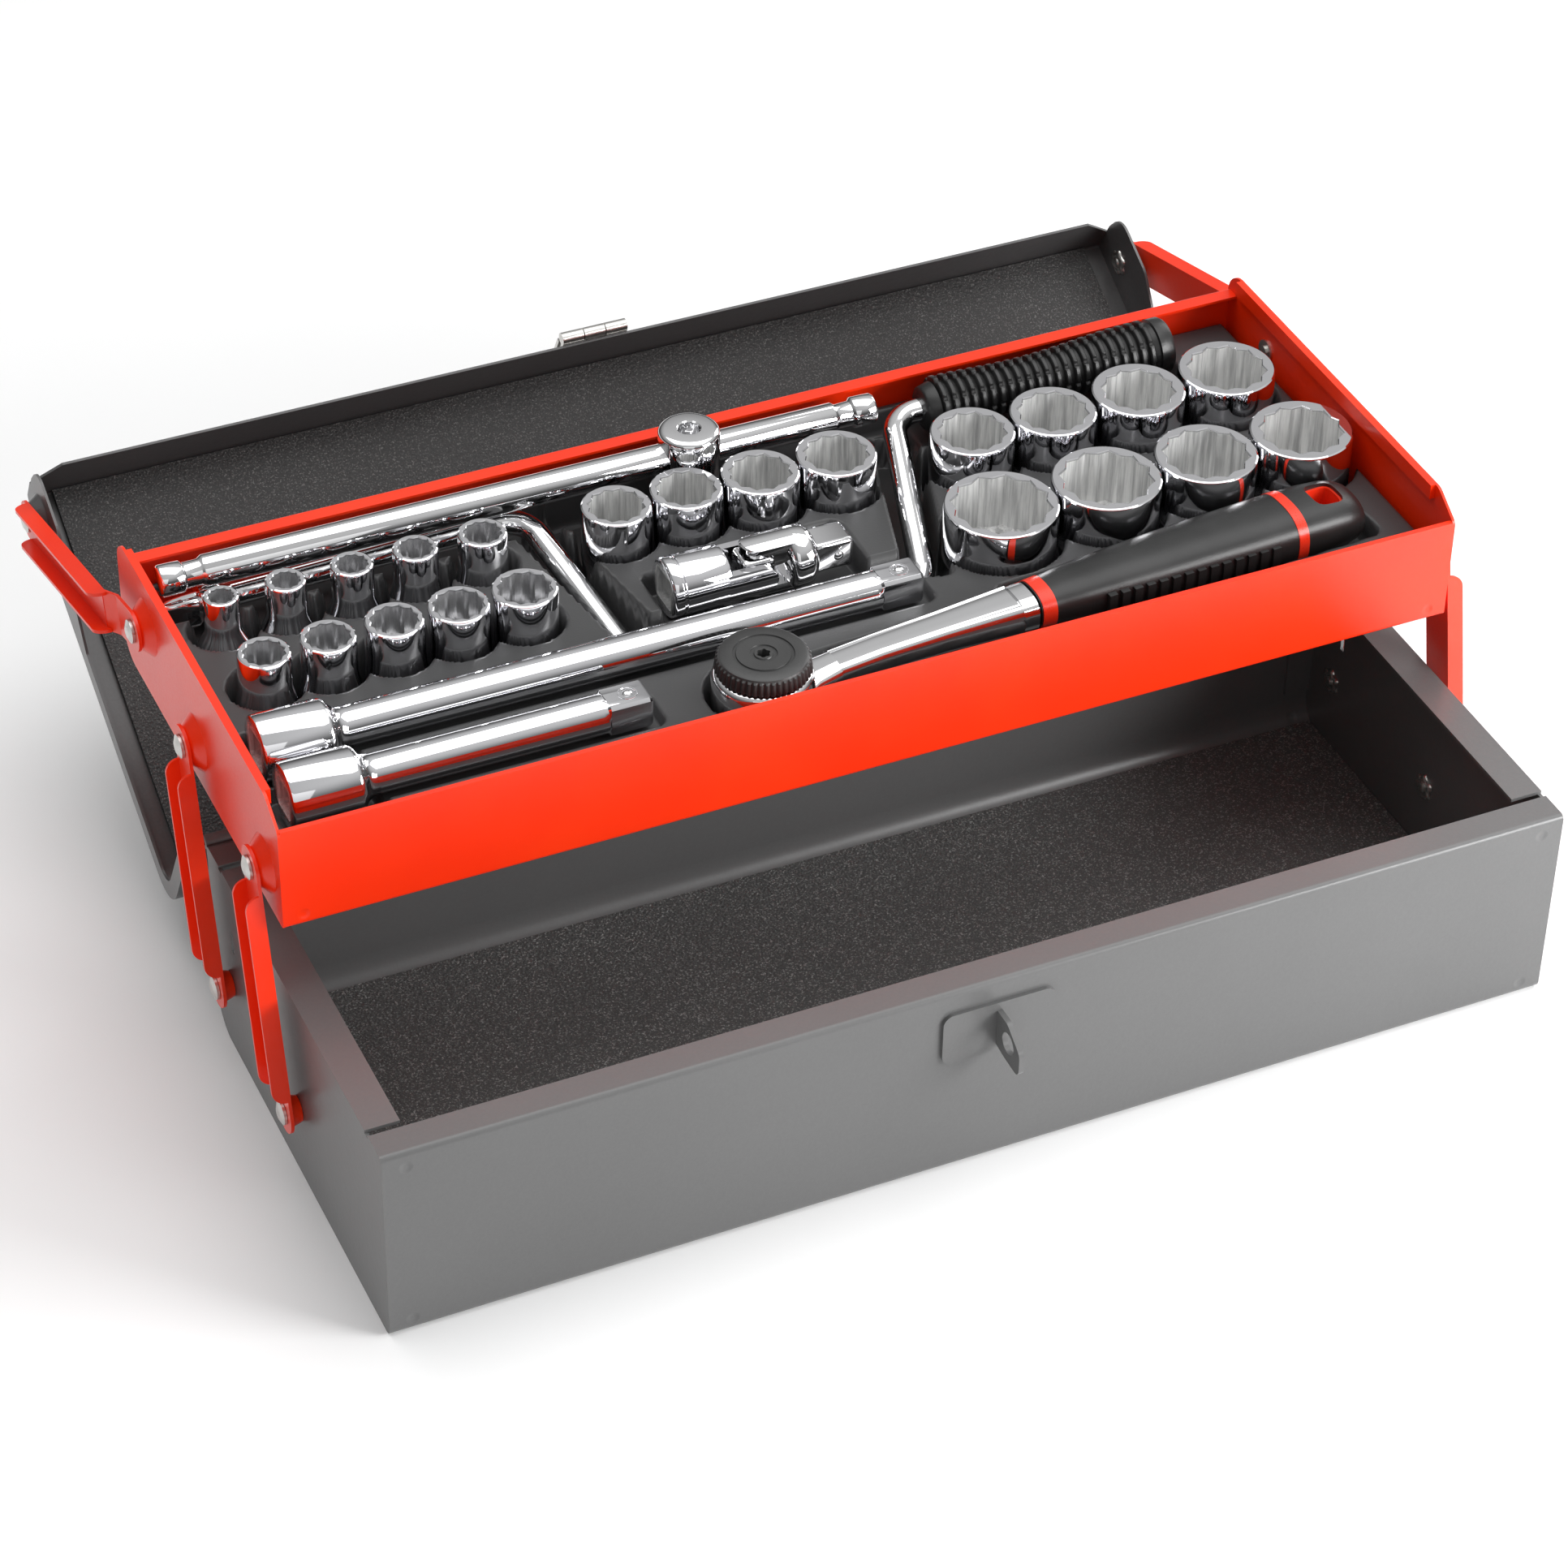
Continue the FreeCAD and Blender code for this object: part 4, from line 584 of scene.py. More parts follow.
# ---- tool sizes, tray millimetres ---------------------------------------------------------------
# size: (along, behind front, radius at the mouth, radius at the foot, length)
SOCKET_ROWS = {
    "sockets_8_to_12": ("small_sockets", {
        8: (25.6, 131.5, 6.5, 10.4, 38.0), 9: (49.6, 131.5, 7.4, 10.4, 38.0),
        10: (74.5, 131.5, 7.8, 10.4, 38.0), 11: (98.5, 131.5, 8.3, 10.4, 38.0),
        12: (124.0, 131.0, 9.0, 10.4, 38.0)}),
    "sockets_13_to_17": ("medium_sockets", {
        13: (28.6, 94.5, 9.6, 11.4, 38.0), 14: (52.1, 94.5, 10.1, 11.4, 38.0),
        15: (76.6, 94.5, 10.7, 11.4, 38.0), 16: (100.5, 94.0, 11.2, 11.4, 38.0),
        17: (125.5, 94.0, 12.0, 11.8, 38.0)}),
    "sockets_18_to_21": ("middle_sockets", {
        18: (174.5, 127.6, 13.0, 12.4, 38.0), 19: (202.0, 127.6, 13.5, 12.8, 38.0),
        20: (231.0, 126.4, 14.6, 13.4, 38.0), 21: (261.6, 126.4, 15.1, 13.8, 38.0)}),
    "sockets_22_to_26": ("large_sockets", {
        22: (314.0, 119.6, 16.0, 14.2, 39.0), 23: (347.4, 119.6, 16.5, 14.6, 39.0),
        24: (383.4, 119.8, 17.8, 15.0, 39.5), 26: (421.0, 119.8, 18.5, 15.4, 39.5)}),
    "sockets_27_to_32": ("largest_sockets", {
        32: (303.2, 73.6, 21.3, 16.8, 39.5), 30: (346.0, 73.4, 20.5, 16.4, 39.5),
        28: (387.0, 73.0, 19.3, 16.0, 39.5), 27: (426.8, 72.6, 19.4, 15.8, 39.5)}),
}
SOCKET_TOP = 42.5
EXTENSIONS = {"long_extension": (12.0, 262.0, 57.6, 31.5),
              "short_extension": (12.0, 145.0, 29.3, 31.5)}
BAR_PLACE = (8.5, 151.0, 40.0)
BAR_LENGTH = 279.5
BRACE_START = Vector((8.0, 154.0, 24.0))
BRACE_END = Vector((411.0, 149.6, 37.6))
CRANK = Vector((0.0, -81.0, -17.2))
BENDS = (148.0, 160.0, 272.0, 296.0)
GRIP_START = 308.0
RATCHET = (186.6, 24.2, 3.2)


# ---- sockets -------------------------------------------------------------------------------------
def add_socket(builder, size, x, y, mouth, foot, length):
    wide = size + 0.2
    deep = length * (0.58 if size > 12 else 0.5)
    floor = length - deep
    well = min(size / 2 - 0.5, foot - 3)
    slim = mouth < foot
    dull = 1.0 if size > 17 else 0.4
    low, high = (0.34, 0.66) if slim else (0.26, 0.46)
    stations = [(0.0, square_ring, 6.45, 1.0), (0.0, round_ring, foot - 0.9, 0.0),
                (0.25, round_ring, foot - 0.3, 0.0), (0.9, round_ring, foot, 0.0)]
    steps = 9
    for i in range(steps + 1):
        share = i / steps
        ease = share * share * (3 - 2 * share)
        stations.append(((low + (high - low) * share) * length,
                         round_ring, foot + (mouth - foot) * ease, 0.0))
    stations += [(length - 1.0, round_ring, mouth, 0.0), (length - 0.35, round_ring, mouth - 0.22, 0.0),
                 (length, round_ring, mouth - 0.75, 0.0),
                 (length, star_ring, wide + 0.7, 0.0), (length - 0.35, star_ring, wide, 0.0),
                 (length - 1.0, star_ring, wide, dull), (floor + 0.6, star_ring, wide, dull), (floor, round_ring, well, dull),
                 (14.0, round_ring, well, dull), (14.0, square_ring, 6.45, dull)]
    builder.turn(stations, upright(x, y, SOCKET_TOP - length), sides=96, closed=True)


for row, (body, sockets) in SOCKET_ROWS.items():
    builder = Builder()
    for size, numbers in sockets.items():
        add_socket(builder, size, *numbers)
    stand_for(builder.finish(row + "_look", "socket", 24.0), body, "tool_chrome", row)


# ---- extensions and the sliding T-handle ---------------------------------------------------------
def extension(name, left, right, y, z):
    """bar with a square hole at one end and a square drive at the other"""
    length = right - left
    neck = length - 16.0
    builder = Builder()
    stations = [(15.8, square_ring, 6.45, 1.0), (0.0, square_ring, 6.45, 1.0),
                (0.0, round_ring, 11.2, 0.0), (0.3, round_ring, 11.8, 0.0),
                (1.0, round_ring, 12.1, 0.0), (24.4, round_ring, 12.1, 0.0),
                (25.6, round_ring, 11.7, 0.0), (26.6, round_ring, 10.6, 0.0),
                (28.0, round_ring, 8.9, 0.0), (29.6, round_ring, 7.8, 0.0),
                (32.0, round_ring, 7.3, 0.0), (neck - 2.4, round_ring, 7.3, 0.0),
                (neck - 0.6, round_ring, 7.2, 0.0), (neck + 0.2, square_ring, 6.35, 0.0),
                (length - 1.4, square_ring, 6.35, 0.0), (length - 0.4, square_ring, 5.9, 0.0),
                (length, square_ring, 5.3, 0.0)]
    builder.turn(stations, lying(left, y, z), sides=64)
    low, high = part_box(name + "_ball")
    seat = upright(0.0, 0.0, 0.0)
    seat.translation = Vector(((low.x + high.x) / 2, (low.y + high.y) / 2, in_tray(0, 0, z + 6.35).z))
    builder.turn([(-0.2, round_ring, 3.6, 0.0), (0.15, round_ring, 3.5, 0.0),
                  (0.15, round_ring, 3.0, 0.0), (-0.2, round_ring, 2.8, 0.0)], seat,
                 sides=48, closed=True)
    return builder.finish(name + "_look", "socket", 30.0)


for name, (left, right, y, z) in EXTENSIONS.items():
    stand_for(extension(name, left, right, y, z), name, "tool_chrome", name)


def t_bar():
    builder = Builder()
    r = 5.9
    groove = [(0.0, r - 1.0), (0.5, r - 0.3), (1.2, r), (8.6, r), (9.2, r - 0.5), (9.8, r - 1.1),
              (15.4, r - 1.1), (16.2, r - 0.6), (17.2, r)]
    stations = [(x, round_ring, size, 0.0) for x, size in groove]
    stations += [(BAR_LENGTH - x, round_ring, size, 0.0) for x, size in groove[::-1]]
    builder.turn(stations, lying(*BAR_PLACE), sides=64)
    return builder.finish("t_bar_look", "chrome", 40.0)


stand_for(t_bar(), "t_handle", "tool_chrome", "t_handle_bar")


def t_head():
    """round head that slides on the bar, with a chamfered top, a centre hole and a square drive"""
    builder = Builder()
    r = 11.5
    stations = [(10.5, square_ring, 5.0, 0.0), (11.0, square_ring, 5.8, 0.0),
                (12.0, square_ring, 6.35, 0.0), (25.4, square_ring, 6.35, 0.0),
                (25.5, round_ring, 8.6, 0.0), (27.6, round_ring, 10.7, 0.0),
                (28.8, round_ring, 11.3, 0.0), (29.6, round_ring, r, 0.0),
                (49.2, round_ring, r, 0.0), (50.2, round_ring, r - 0.5, 0.0),
                (50.8, round_ring, r - 1.6, 0.0), (51.0, round_ring, r - 2.6, 0.0),
                (51.0, round_ring, 4.6, 0.0), (50.6, round_ring, 4.1, 0.0),
                (45.5, round_ring, 3.9, 1.0)]
    builder.turn(stations, upright(213.3, 151.0, 0.0), sides=96)
    return builder.finish("t_head_look", "chrome", 38.0)


stand_for(t_head(), "t_head", "tool_chrome", "t_handle_head")


# ---- speed brace ---------------------------------------------------------------------------------
def brace_axis(x):
    share = (x - BRACE_START.x) / (BRACE_END.x - BRACE_START.x)
    point = BRACE_START.lerp(BRACE_END, share)
    return Vector((x, point.y, point.z))


def brace_path():
    """centre line of the bent rod, every bend an arc"""
    corners = [brace_axis(BRACE_START.x + 20), brace_axis(BENDS[0]), brace_axis(BENDS[1]) + CRANK,
               brace_axis(BENDS[2]) + CRANK, brace_axis(BENDS[3]), brace_axis(GRIP_START + 6)]
    path = [corners[0]]
    radius = 13.0
    for before, here, after in zip(corners[:-2], corners[1:-1], corners[2:]):
        back, ahead = (before - here).normalized(), (after - here).normalized()
        half_turn = (math.pi - back.angle(ahead)) / 2
        run = radius * math.tan(half_turn)
        enter, leave = here + back * run, here + ahead * run
        centre = here + (back + ahead).normalized() * (radius / math.cos(half_turn))
        first, last = enter - centre, leave - centre
        for i in range(17):
            path.append(centre + first.normalized().slerp(last.normalized(), i / 16) * radius)
    path.append(corners[-1])
    return path


def sweep(builder, path, radius, sides=40):
    """a round rod along the path, its rings carried along without twist"""
    rings = []
    up = Vector((0, 0, 1))
    for i, point in enumerate(path):
        ahead = path[min(i + 1, len(path) - 1)] - path[max(i - 1, 0)]
        ahead.normalize()
        up = (up - ahead * up.dot(ahead)).normalized()
        side = ahead.cross(up)
        ring = []
        for k in range(sides):
            angle = 2 * math.pi * k / sides
            ring.append(in_tray(*(point + (up * math.cos(angle) + side * math.sin(angle)) * radius)))
        rings.append(builder.ring(ring))
    builder.skin(rings, start_cap=True, end_cap=True)


def brace_frame(x):
    """places a body drawn along Z so that it lies on the brace's turning axis"""
    direction = (BRACE_END - BRACE_START).normalized()
    turn = direction.to_track_quat("Z", "Y").to_matrix().to_4x4()
    return Matrix.Translation(in_tray(*brace_axis(x))) @ turn @ Matrix.Scale(MM, 4)


def brace():
    builder = Builder()
    sweep(builder, brace_path(), 4.6)
    stations = [(0.0, square_ring, 5.0, 0.0), (0.6, square_ring, 5.8, 0.0),
                (1.7, square_ring, 6.35, 0.0), (14.2, square_ring, 6.35, 0.0),
                (15.0, round_ring, 7.4, 0.0), (15.8, round_ring, 8.4, 0.0),
                (21.5, round_ring, 8.4, 0.0), (22.6, round_ring, 7.9, 0.0),
                (25.0, round_ring, 6.0, 0.0), (28.0, round_ring, 4.6, 0.0)]
    builder.turn(stations, brace_frame(BRACE_START.x), sides=64)
    return builder.finish("brace_look", "chrome", 40.0)


def brace_handle():
    """waisted handle with rounded rings"""
    length = BRACE_END.x - GRIP_START
    builder = Builder()
    stations = [(0.0, round_ring, 4.8, 0.0), (0.0, round_ring, 7.6, 0.0), (0.8, round_ring, 8.6, 0.0),
                (4.2, round_ring, 9.4, 0.0), (5.0, round_ring, 9.6, 0.0)]
    ribs = 23
    pitch = (length - 13) / ribs
    for i in range(ribs):
        start = 5.6 + i * pitch
        share = start / length
        waist = 11.4 - 1.7 * math.sin(math.pi * min(1.0, share * 1.2)) ** 2
        for step, drop in ((0.0, 2.2), (0.04, 0.30), (0.12, 0.0), (0.42, 0.0), (0.50, 0.30),
                           (0.54, 2.2)):
            ring = slotted_ring if drop < 2 else round_ring
            stations.append((start + step * pitch, ring, waist - drop, 0.0))
    stations += [(length - 6.8, round_ring, 10.0, 0.0), (length - 6.4, round_ring, 11.0, 0.0),
                 (length - 2.0, round_ring, 11.0, 0.0), (length - 0.6, round_ring, 10.0, 0.0),
                 (length, round_ring, 7.6, 0.0)]
    builder.turn(stations, brace_frame(GRIP_START), sides=160)
    return builder.finish("brace_handle_look", "grip", 40.0)


stand_for(brace(), "brace", "tool_chrome", "brace_crank")
stand_for(brace_handle(), "brace_handle", "black_grip", "brace_grip")


# ---- ratchet ---------------------------------------------------------------------------------------
def ratchet_frame():
    return upright(RATCHET[0], RATCHET[1], 0) @ Matrix.Rotation(math.radians(RATCHET[2]), 4, "Z")


def selector():
    """fluted direction disc with a ring step and a small hexagon in its middle"""
    builder = Builder()
    low, top = 37.4, 44.0
    stations = [(low, round_ring, 15.8, 0.0), (low + 0.3, knurled_ring, 17.2, 0.0),
                (low + 0.8, knurled_ring, 17.4, 0.0), (top - 1.6, knurled_ring, 16.8, 0.0),
                (top - 1.1, round_ring, 16.0, 0.0), (top - 0.4, round_ring, 15.7, 0.0),
                (top, round_ring, 15.0, 0.0), (top, round_ring, 11.0, 0.0),
                (top - 0.5, round_ring, 10.8, 0.0), (top - 0.5, round_ring, 9.8, 0.0),
                (top, round_ring, 9.6, 0.0), (top, round_ring, 5.0, 0.0),
                (top - 0.5, round_ring, 4.8, 0.0), (top - 0.5, round_ring, 3.5, 0.0),
                (top + 0.0, round_ring, 3.2, 0.0), (top + 0.0, flower_ring, 2.3, 0.0),
                (top - 3.4, flower_ring, 2.2, 0.0)]
    builder.turn(stations, ratchet_frame(), sides=240)
    return builder.finish("selector_look", "disc", 30.0)


stand_for(selector(), "ratchet_selector", "black_grip", "ratchet_selector")

AXIS_Z = 29.5
NECK = [(10.0, 11.5, 4.4, -4.5), (14.0, 9.6, 4.6, -4.2), (19.0, 7.9, 4.9, -3.4),
        (28.0, 7.0, 5.1, -2.0), (45.0, 7.0, 5.4, -0.8), (70.0, 7.6, 5.9, -0.2),
        (90.0, 8.6, 6.6, 0.0), (100.0, 9.2, 7.0, 0.0), (106.0, 9.4, 7.2, 0.0)]
GRIP = [(107.0, 9.4, 7.3, 0.0), (116.0, 10.1, 7.9, 0.0), (119.0, 10.5, 8.3, 0.0),
        (125.0, 11.2, 8.8, 0.0), (140.0, 12.2, 9.6, 0.0), (158.0, 13.1, 10.2, 0.0),
        (176.0, 13.7, 10.7, 0.0), (196.0, 14.3, 11.0, 0.0), (213.0, 14.6, 11.2, 0.0),
        (226.0, 14.5, 10.9, 0.0), (234.0, 14.0, 10.2, 0.0), (239.0, 12.9, 9.0, 0.0),
        (242.0, 11.2, 7.4, 0.0), (243.0, 9.2, 5.6, 0.0)]
HOLE = (224.0, 236.0, 6.5)


def softened(half_width, half_height, power, angle):
    """a point of a rounded box section: power 2 is an ellipse, more is squarer"""
    c, s = math.cos(angle), math.sin(angle)
    reach = (abs(c) ** power + abs(s) ** power) ** (-1 / power)
    return half_width * c * reach, half_height * s * reach


def loft(builder, sections, power, place, sides=64, dish=0.0):
    """a bar along +X through sections (x, half width, half height, rise), its top dished"""
    rings = []
    for x, half_width, half_height, rise in sections:
        points = []
        for i in range(sides):
            y, z = softened(half_width, half_height, power, 2 * math.pi * i / sides)
            if z > 0:
                z -= dish * min(1.0, max(0.0, (0.72 - abs(y) / half_width) / 0.10))
            points.append(place @ Vector((x, y, AXIS_Z + rise + z)))
        rings.append(builder.ring(points))
    builder.skin(rings, start_cap=True, end_cap=True)


def between(sections, x):
    """the section at that x"""
    for a, b in zip(sections[:-1], sections[1:]):
        if x <= b[0]:
            share = (x - a[0]) / (b[0] - a[0])
            return (x,) + tuple(p + share * (q - p) for p, q in zip(a[1:], b[1:]))
    return sections[-1]


def ratchet_steel():
    """round head under the disc and the neck that swells towards the handle"""
    builder = Builder()
    frame = ratchet_frame()
    stations = [(13.5, round_ring, 15.6, 0.0), (14.2, round_ring, 17.0, 0.0),
                (15.6, round_ring, 18.0, 0.0), (17.0, round_ring, 18.4, 0.0),
                (32.4, round_ring, 18.4, 0.0), (34.4, round_ring, 18.2, 0.0),
                (35.8, round_ring, 17.6, 0.0), (36.6, round_ring, 16.8, 0.0),
                (37.1, round_ring, 15.4, 0.0)]
    builder.turn(stations, frame, sides=96)
    loft(builder, NECK[:4], 2.8, frame, sides=128)
    loft(builder, NECK[3:-1], 3.4, frame, sides=128, dish=0.9)
    loft(builder, NECK[-2:], 2.8, frame, sides=128)
    return builder.finish("ratchet_steel_look", "chrome", 40.0)


def cut_through(piece, name, low, high, half):
    """a hole through the handle from top to bottom, cut once and kept as plain mesh"""
    cutter = Builder()
    frame = ratchet_frame()
    rings = []
    for z in (AXIS_Z - 20, AXIS_Z + 20):
        points = []
        for i in range(32):
            x, y = softened((high - low) / 2, half, 4.0, 2 * math.pi * i / 32)
            points.append(frame @ Vector(((low + high) / 2 + x, y, z)))
        rings.append(cutter.ring(points))
    cutter.skin(rings, start_cap=True, end_cap=True)
    tool = cutter.finish(name, "grip")
    bite = piece.modifiers.new("hole", "BOOLEAN")
    bite.operation = "DIFFERENCE"
    bite.object = tool
    bite.solver = "EXACT"
    bpy.context.view_layer.update()
    seen = piece.evaluated_get(bpy.context.evaluated_depsgraph_get())
    mesh = bpy.data.meshes.new_from_object(seen)
    piece.modifiers.clear()
    piece.data = mesh
    bpy.data.objects.remove(tool)


def ratchet_handle():
    """swelling black handle with a rounded end and a hanging hole"""
    builder = Builder()
    sections = [between(GRIP, 107.0 + i * 2.0) for i in range(53)] + GRIP[-6:]
    loft(builder, sections, 2.5, ratchet_frame(), sides=96)
    handle = builder.finish("ratchet_handle_look", "grip", 40.0)
    cut_through(handle, "hole_cutter", *HOLE)
    mesh = handle.data
    for face in mesh.polygons:
        face.use_smooth = True
    mesh.set_sharp_from_angle(angle=math.radians(35))
    return handle


def band(builder, low, high, swell, power=2.5):
    """a ring that stands a little proud of the handle"""
    rings = []
    frame = ratchet_frame()
    for x, proud in ((low, -0.3), (low + 0.05, swell), (high - 0.05, swell), (high, -0.3)):
        _, half_width, half_height, rise = between(GRIP, min(max(x, 107.0), 243.0))
        points = []
        for i in range(96):
            y, z = softened(half_width + proud, half_height + proud, power, 2 * math.pi * i / 96)
            points.append(frame @ Vector((x, y, AXIS_Z + rise + z)))
        rings.append(builder.ring(points))
    builder.skin(rings)


def ratchet_rings():
    """two red rings around the handle and the red rim inside its hanging hole"""
    builder = Builder()
    band(builder, 107.4, 113.0, 0.30)
    band(builder, 211.5, 215.8, 0.22)
    frame = ratchet_frame()
    rings = []
    low, high, half = HOLE
    for z, inset in ((AXIS_Z + 8.2, 0.0), (AXIS_Z + 8.2, 0.9), (AXIS_Z - 8.2, 0.9),
                     (AXIS_Z - 8.2, 0.0)):
        points = []
        for i in range(48):
            x, y = softened((high - low) / 2 - inset, half - inset, 4.0, 2 * math.pi * i / 48)
            points.append(frame @ Vector(((low + high) / 2 + x, y, z)))
        rings.append(builder.ring(points))
    builder.skin(rings, closed=True)
    return builder.finish("ratchet_rings_look", "band", 35.0)


def handle_ribs(graph, given):
    """a row of short upright ribs along one flank of the handle"""
    count = given["Count"]
    row = graph.node("GeometryNodeMeshLine", Count=count)
    index = graph.field(graph.node("GeometryNodeInputIndex"))
    x = given["First"] + index * given["Pitch"]
    flank = -(12.4 + (x - given["First"]) * 0.026)
    placed = graph.node("GeometryNodeSetPosition", Geometry=row.outputs[0],
                        Position=graph.vector(x, flank, given["Axis"]))
    rib = graph.node("GeometryNodeMeshCube", Size=graph.vector(given["Width"], 2.2, 9.5),
                     Vertices_X=2, Vertices_Y=2, Vertices_Z=2)
    copies = graph.node("GeometryNodeInstanceOnPoints", Points=placed.outputs[0],
                        Instance=rib.outputs[0])
    return copies.outputs[0]


ribs = grown("handle_ribs", handle_ribs,
             {"Count": 14, "First": 134.0, "Pitch": 5.2, "Width": 3.2, "Axis": AXIS_Z - 0.5}, "grip")
ribs.data.transform(ratchet_frame())
stand_for(ratchet_steel(), "ratchet", "tool_chrome", "ratchet_body")
stand_for(ratchet_handle(), "ratchet", "black_grip", "ratchet_grip")
stand_for(ribs, "ratchet", "black_grip", "ratchet_grip")
stand_for(ratchet_rings(), "ratchet", "red_band", "ratchet_bands")


# ---- universal joint ------------------------------------------------------------------------------
JOINT = (177.0, 89.6, 30.0)
PIN_X = 35.0


def ears(builder, place, root, inside=6.9, half=5.5, outer=11.3):
    """two rounded ears at both sides of the pin, drawn along +X from root"""
    side = 1 if PIN_X > root else -1
    for flip in (1, -1):
        rings = []
        for i in range(17):
            z = half * math.sin(math.pi * (i / 16 - 0.5))
            tip = PIN_X + side * max(0.0, half ** 2 - z ** 2) ** 0.5
            reach = (outer ** 2 - z ** 2) ** 0.5
            soft = 0.6
            points = [(root, inside), (tip, inside), (tip, reach - soft),
                      (tip - side * soft, reach), (root, reach)]
            rings.append(builder.ring([place @ Vector((x, flip * y, z)) for x, y in points]))
        builder.skin(rings, start_cap=True, end_cap=True)


def joint_frame(roll=0.0):
    return upright(*JOINT) @ Matrix.Rotation(math.radians(roll), 4, "X")


def joint_socket_end():
    builder = Builder()
    stations = [(14.8, square_ring, 6.45, 1.0), (0.0, square_ring, 6.45, 1.0),
                (0.0, round_ring, 10.4, 0.0), (0.3, round_ring, 10.9, 0.0),
                (0.9, round_ring, 11.3, 0.0), (3.6, round_ring, 11.3, 0.0),
                (3.9, round_ring, 10.8, 0.0), (4.7, round_ring, 10.8, 0.0),
                (5.0, round_ring, 11.3, 0.0), (21.0, round_ring, 11.3, 0.0),
                (22.4, round_ring, 10.9, 0.0), (23.4, round_ring, 9.6, 0.0),
                (24.0, round_ring, 7.0, 0.0)]
    builder.turn(stations, lying(*JOINT), sides=96)
    ears(builder, joint_frame(), 17.0)
    return builder.finish("joint_socket_look", "socket", 34.0)


def joint_drive_end():
    builder = Builder()
    stations = [(46.5, round_ring, 7.0, 0.0), (47.1, round_ring, 9.6, 0.0),
                (48.2, round_ring, 10.9, 0.0), (49.6, round_ring, 11.3, 0.0),
                (54.0, round_ring, 11.3, 0.0), (55.4, round_ring, 10.8, 0.0),
                (57.4, round_ring, 8.4, 0.0), (57.6, square_ring, 6.35, 0.0),
                (70.4, square_ring, 6.35, 0.0), (71.5, square_ring, 5.8, 0.0),
                (72.0, square_ring, 5.0, 0.0)]
    builder.turn(stations, lying(*JOINT), sides=96)
    ears(builder, joint_frame(90.0), 53.0)
    return builder.finish("joint_drive_look", "chrome", 34.0)


def joint_cross():
    """centre block and its two pins with domed ends"""
    builder = Builder()
    centre = upright(JOINT[0] + PIN_X, JOINT[1], JOINT[2])
    profile = [(-11.1, 1.4), (-10.8, 2.2), (-10.4, 2.5), (10.4, 2.5), (10.8, 2.2), (11.1, 1.4)]
    for turn in (Matrix.Identity(4), Matrix.Rotation(math.radians(90), 4, "X")):
        builder.turn([(z, round_ring, r, 0.0) for z, r in profile], centre @ turn, sides=40)
    block = [(-6.1, 5.0), (-5.6, 5.8), (-5.0, 6.1), (5.0, 6.1), (5.6, 5.8), (6.1, 5.0)]
    builder.turn([(z, square_ring, r, 0.0) for z, r in block], centre, sides=64)
    return builder.finish("joint_cross_look", "chrome", 34.0)


stand_for(joint_socket_end(), "joint_socket", "tool_chrome", "joint_socket_yoke")
stand_for(joint_drive_end(), "joint_drive", "tool_chrome", "joint_drive_yoke")
stand_for(joint_cross(), "joint_cross", "tool_chrome", "joint_cross")


# ---- spread rivet tails ------------------------------------------------------------------------------
def rivet_tails(name, body, spots):
    """petalled tails on the inner faces, one per spot (x, y, z, way in along X)"""
    builder = Builder()
    for x, y, z, way in spots:
        place = Matrix.Translation((x, y, z)) @ Matrix.Rotation(way * math.pi / 2, 4, "Y")
        stations = [(0.0, flower_ring, 5.0, 0.0), (0.5, flower_ring, 4.9, 0.0),
                    (1.1, flower_ring, 3.9, 0.0), (1.3, round_ring, 2.9, 0.0),
                    (0.9, round_ring, 2.3, 0.0), (1.7, round_ring, 1.9, 0.0),
                    (1.9, round_ring, 1.3, 0.0)]
        builder.turn(stations, place @ Matrix.Scale(MM, 4), sides=72)
    stand_for(builder.finish(name, "zinc", 50.0), body, "zinc")


PIVOTS = [(-0.0015, 0.032), (0.0695, 0.032)]
rivet_tails("box_rivet_tails", "box", [(side * -0.2237, y, z, side)
                                       for side in (1, -1) for y, z in PIVOTS])
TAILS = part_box("lid_rivet_tails")
TAIL = (TAILS[0] + TAILS[1]) / 2
rivet_tails("lid_tails", "lid", [(side * -0.2270, TAIL.y, TAIL.z, side) for side in (1, -1)])

# ---- formed insert -----------------------------------------------------------------------------------
WELLS = [(x, y, max(mouth, foot) + 1.1, SOCKET_TOP - length - 0.3)
         for body, sockets in SOCKET_ROWS.values()
         for x, y, mouth, foot, length in sockets.values()]
WELLS.append((RATCHET[0], RATCHET[1], 19.2, 2.7))
# (low x, high x, low y, high y, floor), square to the tray
TROUGHS = [(6.0, 160.0, 142.5, 163.4, 14.0), (160.8, 275.8, 139.0, 163.2, 9.6),
           (274.8, 306.0, 141.0, 162.2, 18.0), (302.0, 414.5, 137.5, 163.0, 20.5),
           (153.0, 279.0, 66.0, 79.0, 5.6), (9.5, 44.5, 44.7, 70.5, 19.1),
           (43.5, 265.0, 49.3, 65.9, 23.6), (9.5, 44.5, 16.4, 42.2, 19.1),
           (43.5, 148.0, 21.0, 37.6, 23.6), (174.0, 212.0, 77.3, 101.9, 18.4),
           (203.0, 252.0, 75.7, 105.9, 16.5)]


def slanted(start, end, half_width, floor):
    """a trough from start to end: (middle x, middle y, half length, half width, angle, floor)"""
    run = Vector((end[0] - start[0], end[1] - start[1]))
    return ((start[0] + end[0]) / 2, (start[1] + end[1]) / 2, run.length / 2 + half_width,
            half_width, math.atan2(run.y, run.x), floor)


def brace_troughs():
    corners = [brace_axis(BENDS[0]), brace_axis(BENDS[1]) + CRANK,
               brace_axis(BENDS[3]), brace_axis(BENDS[2]) + CRANK]
    return [slanted(corners[0], corners[1], 7.4, 5.6), slanted(corners[2], corners[3], 7.4, 5.6)]


